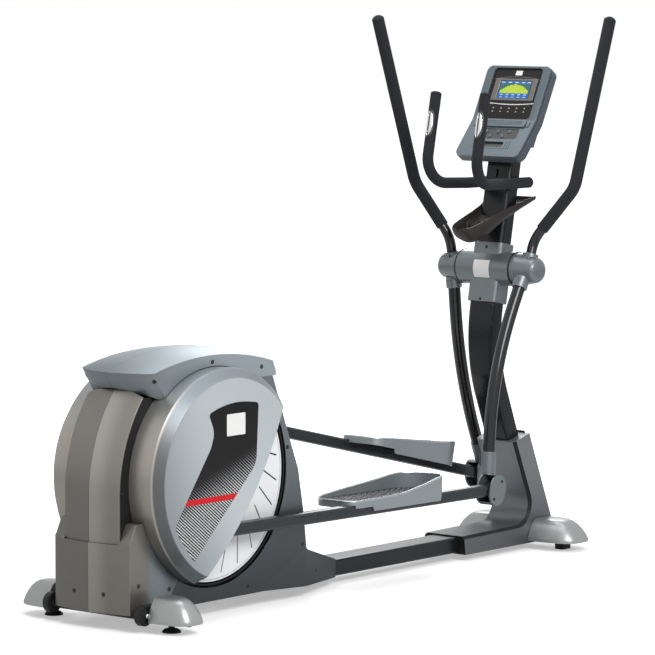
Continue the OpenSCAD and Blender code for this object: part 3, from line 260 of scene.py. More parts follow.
def prism(outline, low, high, chamfer=0.0):
    """Closed block over an outline, with its top edge chamfered."""
    count = len(outline)
    area = sum(a.x * b.y - b.x * a.y for a, b in zip(outline, outline[1:] + outline[:1]))
    ring = [Vector(p) for p in (outline if area > 0 else outline[::-1])]
    levels = [(low, 0.0), (high - chamfer, 0.0)] + ([(high, chamfer)] if chamfer else [])
    points = []
    for level, inset in levels:
        for index, point in enumerate(ring):
            if inset:
                a = (point - ring[index - 1]).normalized()
                b = (ring[(index + 1) % count] - point).normalized()
                side = Vector((-a.y - b.y, a.x + b.x))
                bend = max(0.35, side.length / 2)
                point = point + side.normalized() * inset / bend
            points.append(Vector((point.x, point.y, level)))
    return points, end_faces(count, len(levels)) + bands(count, len(levels))


def lathe(profile, steps=32):
    """Profile of (radius, height) turned round Z."""
    points, faces, size = [], [], len(profile)
    for step in range(steps):
        turn = 2 * pi * step / steps
        points += [around(r, turn, z) for r, z in profile]
        a, b = step * size, (step + 1) % steps * size
        faces += [(a + i, b + i, b + i + 1, a + i + 1) for i in range(size - 1)]
    return points, faces


def loft(rings):
    """Solid through closed rings of equally many points."""
    count, levels = len(rings[0]), len(rings)
    return [Vector(p) for ring in rings for p in ring], bands(count, levels) + end_faces(count, levels)


def fillet(start, corner, end, radius, steps=14):
    """Path from start to end, rounded at the corner between them."""
    start, corner, end = Vector(start), Vector(corner), Vector(end)
    return [start] + rounded([(*start, 0), (*corner, radius), (*end, 0)], steps)[1:-1] + [end]


def bead(path, radius, steps=10):
    """Round bead along a closed path."""
    points, count = [], len(path)
    for index, point in enumerate(path):
        way = (path[(index + 1) % count] - path[index - 1]).normalized()
        across = way.cross(UP).normalized()
        for step in range(steps):
            turn = 2 * pi * step / steps
            points.append(point + (across * cos(turn) + across.cross(way) * sin(turn)) * radius)
    return points, bands(steps, count, closed=True)


def screw_head(radius, dome):
    """Domed head with a cross recess."""
    steps, points = 24, []
    recess, deep, arm = radius * 0.62, dome * 0.9, radius * 0.17
    rings = [(1.0, 0.0), (1.0, 0.35), (0.93, 0.7), (0.8, 0.92)]
    for share, level in rings:
        points += [around(radius * share, 2 * pi * step / steps, dome * level) for step in range(steps)]
    quarter = [(recess, 0), (recess, arm), (arm * 2.2, arm), (arm, arm), (arm, arm * 2.2), (arm, recess)]
    cross = [Matrix.Rotation(turn * pi / 2, 2) @ Vector(corner) for turn in range(4) for corner in quarter]
    for level in (dome, dome - deep):
        points += [Vector((p.x, p.y, level)) for p in cross]
    layers = len(rings) + 2
    return points, bands(steps, layers) + end_faces(steps, layers)[::-1]


class Piece:
    """Gathers solids into one mesh, then makes the object and sets what it rides on."""

    def __init__(self, name):
        self.name, self.points, self.faces, self.finishes = name, [], [], []

    def add(self, solid, place=Matrix(), finish=0):
        points, faces = solid
        start = len(self.points)
        self.points += [place @ p for p in points]
        self.faces += [tuple(start + i for i in face) for face in faces]
        self.finishes += [finish] * len(faces)
        return self

    def make(self, materials, slot, body="frame", mirror=False, smooth=35):
        """One material, or a list of them in the order of the finishes."""
        points, faces = self.points, self.faces
        if mirror:
            points = [Vector((p.x, -p.y, p.z)) for p in points]
            faces = [face[::-1] for face in faces]
        mesh = bpy.data.meshes.new(self.name)
        mesh.from_pydata(points, [], faces)
        for material in materials if isinstance(materials, list) else [materials]:
            mesh.materials.append(material)
        mesh.polygons.foreach_set("material_index", self.finishes)
        mesh.polygons.foreach_set("use_smooth", [True] * len(faces))
        solid = bmesh.new()
        solid.from_mesh(mesh)
        bmesh.ops.recalc_face_normals(solid, faces=solid.faces)
        solid.to_mesh(mesh)
        solid.free()
        mesh.set_sharp_from_angle(angle=radians(smooth))
        mesh.update()
        piece = bpy.data.objects.new(self.name, mesh)
        bpy.context.scene.collection.objects.link(piece)
        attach(piece, body)
        return piece


def slab(name, outline, high, place, material, slot="bezel_grey", chamfer=0.0):
    """Piece of one flat block that rides on the frame."""
    return Piece(name).add(prism(outline, 0, high, chamfer), place).make(material, slot)


def touch(nodes, start, way):
    """Where a line from outside first meets the CAD nodes, and the surface's normal there."""
    start, way = Vector(start), Vector(way).normalized()
    hits = [NODES[node].ray_cast(start, way) for node in nodes]
    hits = [(point, normal) for hit, point, normal, _ in hits if hit]
    if not hits:
        raise RuntimeError(f"nothing of {nodes} lies at {tuple(start)} along {tuple(way)}")
    return min(hits, key=lambda hit: (hit[0] - start).length)


# ---- Shared effects


# Colour that edges are painted towards, as a painted highlight along them.
EDGE_HIGHLIGHT = (0.8, 0.82, 0.84, 1)


def group_tree(name, inputs, outputs):
    tree = bpy.data.node_groups.new(name, "ShaderNodeTree")
    for title, kind, default in inputs:
        socket = tree.interface.new_socket(title, in_out="INPUT", socket_type=kind)
        if default is not None:
            socket.default_value = default
    for title, kind in outputs:
        tree.interface.new_socket(title, in_out="OUTPUT", socket_type=kind)
    return tree, tree.nodes.new("NodeGroupInput").outputs, tree.nodes.new("NodeGroupOutput").inputs


class Wiring:
    """Short ways to add and join nodes in one tree."""

    def __init__(self, tree):
        self.tree = tree

    def node(self, kind, **settings):
        made = self.tree.nodes.new(kind)
        for key, value in settings.items():
            setattr(made, key, value)
        return made

    def put(self, socket, value):
        if isinstance(value, bpy.types.NodeSocket):
            self.tree.links.new(value, socket)
        else:
            socket.default_value = value

    def math(self, operation, a, b=None, clamp=False):
        made = self.node("ShaderNodeMath", operation=operation, use_clamp=clamp)
        self.put(made.inputs[0], a)
        if b is not None:
            self.put(made.inputs[1], b)
        return made.outputs[0]

    def plus(self, a, b, clamp=False):
        return self.math("ADD", a, b, clamp)

    def minus(self, a, b):
        return self.math("SUBTRACT", a, b)

    def times(self, a, b, clamp=False):
        return self.math("MULTIPLY", a, b, clamp)

    def noise(self, vector, scale, detail=2.0, rough=0.5):
        made = self.node("ShaderNodeTexNoise")
        self.put(made.inputs["Vector"], vector)
        self.put(made.inputs["Scale"], scale)
        made.inputs["Detail"].default_value = detail
        made.inputs["Roughness"].default_value = rough
        return made.outputs["Fac"]

    def mix(self, share, a, b):
        made = self.node("ShaderNodeMix", data_type="RGBA")
        for index, given in ((0, share), (6, a), (7, b)):
            self.put(made.inputs[index], given)
        return made.outputs[2]

    def ramp(self, value, low, high, to_low=0.0, to_high=1.0):
        made = self.node("ShaderNodeMapRange", interpolation_type="SMOOTHSTEP")
        for socket, given in zip(made.inputs, (value, low, high, to_low, to_high)):
            self.put(socket, given)
        return made.outputs[0]

    def scaled(self, given, share):
        """Colour darkened or lightened to a share of itself."""
        made = self.node("ShaderNodeVectorMath", operation="SCALE")
        self.put(made.inputs[0], given[:3] if isinstance(given, tuple) else given)
        self.put(made.inputs["Scale"], share)
        return made.outputs[0]

    def axes(self, place):
        """The X, Y and Z of a place."""
        split = self.node("ShaderNodeSeparateXYZ")
        self.put(split.inputs[0], place)
        return split.outputs


def surface_group():
    """Grain and rounded edges: a varying roughness, a normal and a mask of the edges."""
    if "surface_grain" in bpy.data.node_groups:
        return bpy.data.node_groups["surface_grain"]
    tree, given, out = group_tree(
        "surface_grain",
        [
            ("Vector", "NodeSocketVector", None),
            ("Grain Scale", "NodeSocketFloat", 900.0),
            ("Grain Height", "NodeSocketFloat", 0.00002),
            ("Roughness", "NodeSocketFloat", 0.4),
            ("Spread", "NodeSocketFloat", 0.1),
            ("Edge Radius", "NodeSocketFloat", 0.0012),
        ],
        [("Roughness", "NodeSocketFloat"), ("Normal", "NodeSocketVector"), ("Edge", "NodeSocketFloat")],
    )
    w = Wiring(tree)
    grain = w.noise(given["Vector"], given["Grain Scale"], 3.0, 0.6)
    cloud = w.noise(given["Vector"], 9.0, 4.0, 0.6)
    bevel = w.node("ShaderNodeBevel", samples=4)
    w.put(bevel.inputs["Radius"], given["Edge Radius"])
    bump = w.node("ShaderNodeBump")
    bump.inputs["Distance"].default_value = 1.0
    w.put(bump.inputs["Height"], w.times(grain, given["Grain Height"]))
    w.put(bump.inputs["Normal"], bevel.outputs[0])
    geometry = w.node("ShaderNodeNewGeometry")
    dot = w.node("ShaderNodeVectorMath", operation="DOT_PRODUCT")
    w.put(dot.inputs[0], geometry.outputs["Normal"])
    w.put(dot.inputs[1], bevel.outputs[0])
    edge = w.times(w.minus(1.0, dot.outputs["Value"]), 5.0, clamp=True)
    wander = w.minus(w.plus(w.times(grain, 0.4), w.times(cloud, 0.6)), 0.5)
    rough = w.plus(given["Roughness"], w.times(wander, given["Spread"]), clamp=True)
    w.put(out["Roughness"], rough)
    w.put(out["Normal"], bump.outputs[0])
    w.put(out["Edge"], edge)
    return tree


def shade_group():
    """Colour of a paint or plastic: slight clouds, metallic flake and edges painted paler as a painted highlight.
    """
    if "shade" in bpy.data.node_groups:
        return bpy.data.node_groups["shade"]
    tree, given, out = group_tree(
        "shade",
        [
            ("Vector", "NodeSocketVector", None),
            ("Colour", "NodeSocketColor", (0.5, 0.5, 0.5, 1)),
            ("Cloud", "NodeSocketFloat", 0.06),
            ("Flake", "NodeSocketFloat", 0.0),
            ("Edge", "NodeSocketFloat", 0.0),
            ("Edge Lift", "NodeSocketFloat", 0.15),
        ],
        [("Colour", "NodeSocketColor")],
    )
    w = Wiring(tree)
    cloud, flake = (
        w.times(w.minus(w.noise(given["Vector"], scale, detail), 0.5), given[amount])
        for scale, detail, amount in ((5.0, 3.0, "Cloud"), (2600.0, 1.0, "Flake")))
    shaded = w.scaled(given["Colour"], w.plus(1.0, w.plus(cloud, flake)))
    # Painted highlight: the edges are painted paler, as far as Edge Lift says.
    lift = w.times(given["Edge"], given["Edge Lift"], clamp=True)
    w.put(out["Colour"], w.mix(lift, shaded, EDGE_HIGHLIGHT))
    return tree


class Finish:
    """A material with the shared effects placed and a Principled shader set for one surface."""

    def __init__(self, name):
        self.material = bpy.data.materials.new(name)
        self.material.use_nodes = True
        tree = self.material.node_tree
        tree.nodes.clear()
        self.w = Wiring(tree)
        self.output = self.w.node("ShaderNodeOutputMaterial")
        self.shader = self.w.node("ShaderNodeBsdfPrincipled")
        self.w.put(self.output.inputs["Surface"], self.shader.outputs[0])
        self.place = self.w.node("ShaderNodeTexCoord").outputs["Object"]

    def group(self, tree, **values):
        made = self.w.node("ShaderNodeGroup", node_tree=tree)
        for socket in made.inputs:
            key = socket.name.replace(" ", "_").lower()
            if key in values:
                self.w.put(socket, values[key])
        self.w.put(made.inputs["Vector"], self.place)
        return made

    def set(self, **values):
        for name, value in values.items():
            self.shader.inputs[name.replace("_", " ").title().replace("Ior", "IOR")].default_value = value
        return self


def rgba(value):
    return (*value, 1.0)


def paint(name, base, rough=0.4, spread=0.1, grain=900.0, height=0.00002, edge=0.0012,
          cloud=0.06, flake=0.0, lift=0.15, tint=None, **shader):
    """Material of one finish. tint(w, colour, axes) may change the colour before it is shaded; lift sets how far
    its edges are painted paler, a painted highlight.
    """
    if name in bpy.data.materials:
        return bpy.data.materials[name]
    finish = Finish(name)
    w = finish.w
    skin = finish.group(surface_group(), grain_scale=grain, grain_height=height,
                        roughness=rough, spread=spread, edge_radius=edge)
    given = rgba(base) if tint is None else tint(w, rgba(base), w.axes(finish.place))
    hue = finish.group(shade_group(), colour=given, cloud=cloud, flake=flake,
                       edge=skin.outputs["Edge"], edge_lift=lift)
    w.put(finish.shader.inputs["Base Color"], hue.outputs["Colour"])
    w.put(finish.shader.inputs["Roughness"], skin.outputs["Roughness"])
    w.put(finish.shader.inputs["Normal"], skin.outputs["Normal"])
    finish.set(**shader)
    return finish.material


def cover(names, material):
    """Gives CAD nodes their finish."""
    for name in names:
        mesh = NODES[name].data
        mesh.materials.clear()
        mesh.materials.append(material)


def sides(*names):
    return [f"{name}_{side}" for name in names for side in SIDES]


class TrainerStep:
    """What all the trainer's operators share."""

    bl_options = {"REGISTER", "UNDO"}

    def execute(self, context):
        self.build(context.scene)
        return {"FINISHED"}


# ---- Finishes of the frame


def falling(name, base, fall, low=0.03, high=0.75, **values):
    """Metallic paint with painted shade that darkens it gently towards the floor."""

    def tint(w, given, at):
        return w.scaled(given, w.ramp(at["Z"], low, high, fall, 1.0))

    return paint(name, base, tint=tint, **values)


def seam(w, given, at):
    """Dark line down the middle, where two mouldings meet."""
    away = w.math("ABSOLUTE", at["Y"], 0.0)
    return w.scaled(given, w.ramp(away, 0.0006, 0.0012, 0.3, 1.0))


def housing_finish(**values):
    """Champagne paint with painted light and shade: one half of the spine painted paler and the other darker, as
    light falls on the two halves, painted shade towards the outer edge of the paler half and towards the floor, and
    cooler round the sides of the base.
    """
    p = paints()

    def tint(w, given, at):
        # Painted light and shade: one half of the spine paler, the other darker, and painted shade towards the
        # outer edge of the paler half.
        half = w.ramp(at["Y"], -0.0006, 0.0006, 1.28, 0.70)
        side = w.ramp(at["Y"], -0.085, -0.01, 0.66, 1.0)
        warm = seam(w, w.scaled(given, w.times(half, side)), at)
        cool = w.scaled(tuple(p.top), w.ramp(at["X"], -0.93, -0.86, 1.0, 0.62))
        low = w.math("LESS_THAN", at["Z"], 0.30)
        hue = w.mix(w.times(low, w.ramp(at["X"], -0.985, -0.955)), warm, cool)
        # Painted shade: darker towards the floor.
        return w.scaled(hue, w.ramp(at["Z"], 0.03, 0.62, 0.6, 1.0))

    return paint("housing_paint", p.housing, tint=tint, flake=0.2, **values)


def top_finish(**values):
    """Blue grey paint with painted shade, darker over the slope at the rear, and painted light, paler further
    forwards.
    """
    p = paints()

    def tint(w, given, at):
        slope = w.plus(at["X"], w.times(at["Z"], -0.3))
        # Painted shade over the rear slope and painted light further forwards.
        shade = w.times(w.ramp(slope, -1.22, -1.08, 0.66, 1.0), w.ramp(at["X"], -0.95, -0.62, 1.0, 1.4))
        return seam(w, w.scaled(given, shade), at)

    return paint("top_paint", p.top, tint=tint, flake=0.2, **values)


def around_crank(w, at):
    """Distance from the crank axle."""
    x = w.minus(at["X"], CRANK.x)
    z = w.minus(at["Z"], CRANK.z)
    return w.math("SQRT", w.plus(w.times(x, x), w.times(z, z)))


# The cover's rim and its bevel, at the rear and further forwards: the side warm at the rear and painted paler there
# as a painted highlight, and the bevel painted darker at the rear as a painted dark reflection.
RIM_SIDE_HIGHLIT = (0.40, 0.38, 0.34, 1), (0.26, 0.295, 0.32, 1)
RIM_BEVEL_SHADED = (0.15, 0.155, 0.155, 1), (0.24, 0.275, 0.30, 1)


def cover_finish():
    """Silver of the crank covers, with painted light and shade: a face painted paler towards the upper front and
    darker towards the lower rear, in a rim warm at the rear, whose side and bevel are painted darker towards the
    floor.
    """
    p = paints()

    def tint(w, given, at):
        slant = w.plus(at["X"], w.times(at["Z"], 0.5))
        # Painted light and shade: the face darker at the lower rear and paler at the upper front.
        face = w.scaled(given, w.ramp(slant, -0.86, -0.46, 0.60, 1.22))
        far = around_crank(w, at)
        # Rim: painted highlight and painted dark reflection from the rim colours, and painted shade towards the
        # floor.
        side = w.mix(w.ramp(at["X"], -1.0, -0.80), *RIM_SIDE_HIGHLIT)
        side = w.scaled(side, w.ramp(at["Z"], 0.10, 0.55, 0.5, 1.0))
        bevel = w.mix(w.ramp(at["X"], -1.0, -0.85), *RIM_BEVEL_SHADED)
        bevel = w.scaled(bevel, w.ramp(at["Z"], 0.10, 0.60, 0.45, 1.0))
        return w.mix(w.ramp(far, 0.288, 0.294), face, w.mix(w.ramp(far, 0.313, 0.317), bevel, side))

    return paint("cover_paint", p.cover, 0.36, 0.08, tint=tint, flake=0.18, lift=0.3,
                 metallic=0.6, specular_tint=(0.6, 0.6, 0.6, 1))


def finishes():
    """Each finish of the CAD parts, with the parts that wear it."""
    p = paints()
    dull = (0.55, 0.56, 0.58, 1)
    metal = dict(metallic=0.65, coat_weight=0.15, coat_roughness=0.22, specular_tint=dull)
    return [
        (housing_finish(rough=0.36, lift=0.25, **metal), ["rear_spine", "base_shroud"]),
        (top_finish(rough=0.4, lift=0.25, metallic=0.75, specular_tint=dull), ["top_cover"]),
        (cover_finish(), sides("crank_cover")),
        # The front, beam and mast shrouds: painted shade darkens them towards the floor.
        (falling("shroud_paint", p.slate, 0.24, 0.05, 0.55, rough=0.36, flake=0.2, metallic=0.6,
                 specular_tint=dull, coat_weight=0.1, coat_roughness=0.2), ["front_shroud", "beam_shroud"]),
        (falling("mast_shroud_paint", p.foot, 0.6, 0.03, 0.3, rough=0.4, flake=0.15, metallic=0.6,
                 specular_tint=dull), ["mast_shroud"]),
        (paint("cap_paint", p.caps, 0.36, flake=0.2, lift=0.25, **metal), ["rear_caps", "front_caps"]),
        (paint("casting_paint", p.cast, 0.36, 0.12, grain=500, height=0.00006, flake=0.15, edge=0.002, lift=0.06,
               metallic=0.5, coat_weight=0.3, coat_roughness=0.25), ["hub_barrel", *sides("knuckle", "fork")]),
        (paint("tube_enamel", p.tube, 0.16, 0.08, grain=300, height=0.00001, cloud=0.2, specular_ior_level=0.35,
               coat_weight=0.25, coat_roughness=0.08), ["fixed_handlebar", *sides("handlebar", "lever")]),
        (paint("mast_enamel", p.tube, 0.28, grain=300, cloud=0.2, specular_ior_level=0.25, coat_weight=0.1,
               coat_roughness=0.15), ["mast"]),
        (paint("beam_enamel", p.beam, 0.34, flake=0.15, metallic=0.4, specular_ior_level=0.3), ["base_beam"]),
        (paint("bright_steel", (0.62, 0.62, 0.61), 0.28, 0.15, grain=1500, height=0.00001, metallic=1.0),
         ["swing_axle", "crank_axle", "crank_bearings", "idler_roller"]),
        (paint("foam_sleeve", p.foam, 0.85, 0.15, grain=650, height=0.00035, cloud=0.25, lift=0.02,
               specular_ior_level=0.3, sheen_weight=0.04, sheen_roughness=0.5), ["fixed_grips", *sides("grip")]),
        (paint("arm_enamel", p.arm, 0.28, flake=0.12, metallic=0.45, specular_ior_level=0.35), sides("pedal_arm")),
        (paint("pedal_moulding", p.pedal, 0.42, flake=0.1, lift=0.3, metallic=0.4), sides("pedal")),
        (paint("tray_moulding", p.tray, 0.4, 0.12, grain=1100, height=0.00004, lift=0.0, specular_ior_level=0.2),
         ["accessory_tray"]),
        (paint("console_shell", p.shell, 0.5, grain=1400, height=0.00006), ["console_housing"]),
        (paint("console_frame", p.bezel, 0.4, 0.08, grain=1400, height=0.00004, flake=0.08, metallic=0.3),
         ["console_bezel"]),
        (paint("rubber", p.rubber, 0.6, 0.15, height=0.00008, lift=0.03, specular_ior_level=0.3),
         ["front_pads", *sides("pedal_mat", "levelling_foot", "transport_wheel")]),
        (paint("well_moulding", (0.010, 0.010, 0.011), 0.5, grain=1100, height=0.00005, lift=0.04,
               specular_ior_level=0.2), ["side_panels", "mast_trim", "console_screen"]),
        (paint("disc_moulding", p.disc, 0.35, 0.06, grain=1200, cloud=0.03), ["crank_discs"]),
        (paint("frame_enamel", (0.014, 0.015, 0.016), 0.4, 0.12, flake=0.1, coat_weight=0.3),
         ["rear_stabiliser", "front_stabiliser", "crank_frame", "crank_arms", "drive_pulley"]),
        (paint("key_moulding", (0.10, 0.11, 0.12), 0.45, 0.08, grain=1500), KEYS),
        (paint("belt_rubber", (0.012, 0.012, 0.012), 0.6), ["drive_belt"]),
        (paint("rotor_copper", (0.55, 0.27, 0.14), 0.35, metallic=1.0), ["generator_rotor"]),
        (chrome(), ["pulse_sensors"]),
    ]


def chrome():
    return paint("chrome", (0.72, 0.73, 0.75), 0.12, grain=400, height=0.000005, lift=0.0, metallic=1.0)


def black_plastic():
    return paint("black_plastic", (0.010, 0.010, 0.011), 0.38, grain=1200, height=0.00003, lift=0.05)


def screw_black():
    return paint("screw_black", (0.008, 0.008, 0.009), 0.3, lift=0.12, metallic=0.4)


class TRAINER_OT_finishes(TrainerStep, bpy.types.Operator):
    """Gives every part of the frame its paint, plastic, rubber or metal"""

    bl_idname = "trainer.finishes"
    bl_label = "Finishes"

    def build(self, scene):
        for material, names in finishes():
            cover(names, material)
        for node in NODES.values():
            weld = node.modifiers.new("weld", "WELD")
            weld.merge_threshold = 0.00001
            split = node.modifiers.new("edges", "EDGE_SPLIT")
            split.split_angle = radians(32)
            node.data.polygons.foreach_set("use_smooth", [True] * len(node.data.polygons))


# ---- Covers and crank


# Corners of the printed film, as (x, z, radius).
FILM_OUTLINE = [
    (-0.792, 0.600, 0.010), (-0.700, 0.6335, 0.35), (-0.577, 0.6165, 0.012), (-0.5875, 0.440, 0.06),
    (-0.857, 0.184, 0.004), (-0.9385, 0.287, 0.030), (-0.783, 0.502, 0.05), (-0.767, 0.545, 0.05),
]
# Where the film's bare plate and the lower edge of its band are, and the radii of the line round a disc.
PLATE_MIDDLE = Vector((-0.6755, 0.5615))
BAND_LOW = 0.3465
DISC_LINE = (0.2972, 0.2986)


def film_finish():
    """Black printed film: slanting stripes that fade in downwards, and a red band."""
    p, sizes = paints(), bpy.context.scene.trainer_panel

    def tint(w, given, at):
        x, z = at["X"], at["Z"]
        along = w.plus(w.times(z, 0.802 / sizes.pitch), w.times(x, 0.598 / sizes.pitch))
        wave = w.math("SINE", w.times(along, 2 * pi))
        fade = w.ramp(w.minus(w.times(x, 0.347), z), -0.725, -0.60)
        edge = w.minus(0.95, w.times(fade, 0.85))
        stripe = w.ramp(wave, edge, w.plus(edge, 0.35))
        striped = w.mix(w.times(stripe, fade), given, (0.62, 0.63, 0.64, 1))
        low = w.math("GREATER_THAN", z, BAND_LOW)
        band = w.times(low, w.math("LESS_THAN", z, BAND_LOW + sizes.band))
        return w.mix(band, striped, rgba(p.accent))

    return paint("printed_film", (0.006, 0.006, 0.007), 0.2, 0.05, tint=tint, grain=200, height=0.000005,
                 lift=0.0, cloud=0.0, specular_ior_level=0.2)


class TRAINER_OT_covers(TrainerStep, bpy.types.Operator):
    """Printed film and bare plate on each crank cover, and the line round each crank disc"""

    bl_idname = "trainer.covers"
    bl_label = "Covers and discs"

    def build(self, scene):
        sizes = scene.trainer_panel
        film, plate = film_finish(), paint("plate_white", (0.78, 0.78, 0.77), 0.35, 0.05, coat_weight=0.3)
        line = paint("disc_line", (0.30, 0.31, 0.33), 0.4)
        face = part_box("crank_cover_left")[1][1]
        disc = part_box("crank_discs")[1][1]
        on_face = beside(0, face, 0)
        thick = sizes.film
        outline = rounded(FILM_OUTLINE, 10)
        plate_outline = [PLATE_MIDDLE + p for p in box_outline(sizes.plate_w, sizes.plate_h, 0.004)]
        inner, outer = DISC_LINE
        ring = [(inner, 0), (inner, 0.0003), (outer, 0.0003), (outer, 0)]
        for side, sign in SIDES.items():
            flip = sign < 0
            panel = Piece(f"cover_film_{side}").add(prism(outline, 0, thick), on_face)
            panel.make(film, "cover_silver", mirror=flip)
            bare = Piece(f"cover_plate_{side}").add(prism(plate_outline, thick, 2 * thick), on_face)
            bare.make(plate, "cover_silver", mirror=flip)
            rim = Piece(f"disc_line_{side}").add(lathe(ring, 128), beside(CRANK.x, disc, CRANK.z))
            rim.make(line, "disc_white", "crank", flip)


# ---- Fasteners


class TRAINER_OT_fasteners(TrainerStep, bpy.types.Operator):
    """Cross recessed screws of the housing, shrouds, side panels and castings"""

    bl_idname = "trainer.fasteners"
    bl_label = "Fasteners"

    def screws(self, name, nodes, places, radius, body="frame"):
        dome = bpy.context.scene.trainer_fasteners.dome
        piece = Piece(name)
        for start, way in places:
            point, normal = touch(nodes, start, way)
            piece.add(screw_head(radius, dome), facing(point - normal * dome * 0.1, normal))
        piece.make(screw_black(), "wheel_black", body)

    def build(self, scene):
        sizes = scene.trainer_fasteners
        sideways = [
            (-1.012, 0.127), (-0.884, 0.103), (-0.929, 0.699), (-0.691, 0.737), (-0.476, 0.706),
            (-0.362, 0.459), (-0.293, 0.163), (-0.194, 0.069), (-0.540, 0.068),
        ]
        shells = ["base_shroud", "top_cover", "front_shroud", "beam_shroud"]
        places = [((x, sign, z), (0, -sign, 0)) for x, z in sideways for sign in (-1, 1)]
        places += [((-2, y, 0.101), (1, 0, 0)) for y in (-0.057, 0.057)]
        self.screws("housing_screws", shells, places, sizes.head)
        wells = [((-1.033, sign, 0.387), (0, -sign, 0)) for sign in (-1, 1)]
        self.screws("well_screws", ["side_panels"], wells, sizes.small)
        collar = [((HUB.x - 1, 0, HUB.z + z), (1, 0, 0)) for z in (0.068, -0.095)]
        self.screws("collar_screws", ["hub_barrel"], collar, sizes.small)
        for side, sign in SIDES.items():
            pivot = JOINTS[f"{side}_arm_pivot"]
            offsets = ((0.020, 0.026), (-0.020, -0.026))
            outer = [((pivot.x + x, sign, pivot.z + z), (0, -sign, 0)) for x, z in offsets]
            self.screws(f"fork_screws_{side}", [f"fork_{side}"], outer, sizes.head * 0.8, f"swing_{side}")


# ---- Console


LED_COLOURS = [
    ("lcd_blue", (0.008, 0.10, 0.36)), ("lcd_field", (0.02, 0.11, 0.09)), ("lcd_bars", (0.48, 0.62, 0.02)),
    ("lcd_marks", (0.50, 0.68, 0.85)),
]


def lit(name, colour, glow):
    """Display colour that glows a little behind its glossy window."""
    finish = Finish(name)
    finish.set(base_color=rgba(tuple(c * 0.3 for c in colour)), emission_color=rgba(colour),
               emission_strength=glow, roughness=0.3)
    return finish.material


def console_face(lean, rise, y, out):
    """Frame on a face through the fold: X to the user's right, Y up the face and Z out of it."""
    up = Vector((sin(lean), 0, cos(lean)))
    return frame_at(FOLD + up * rise + LEFTWARD * y - up.cross(-LEFTWARD) * out, -LEFTWARD, up)


def low_face(down, y, out=0.0):
    return console_face(LOW_LEAN, -down, y, out)


def high_face(rise, y, out=0.0):
    return console_face(HIGH_LEAN, rise, y, out)


def arc_strip(half, low, sag, width, steps=24):
    """Outline of a strip bowed down in its middle."""
    line = [Vector((half * (2 * s / steps - 1), low + sag * (2 * s / steps - 1) ** 2)) for s in range(steps + 1)]
    return [p - Vector((0, width / 2)) for p in line] + [p + Vector((0, width / 2)) for p in reversed(line)]


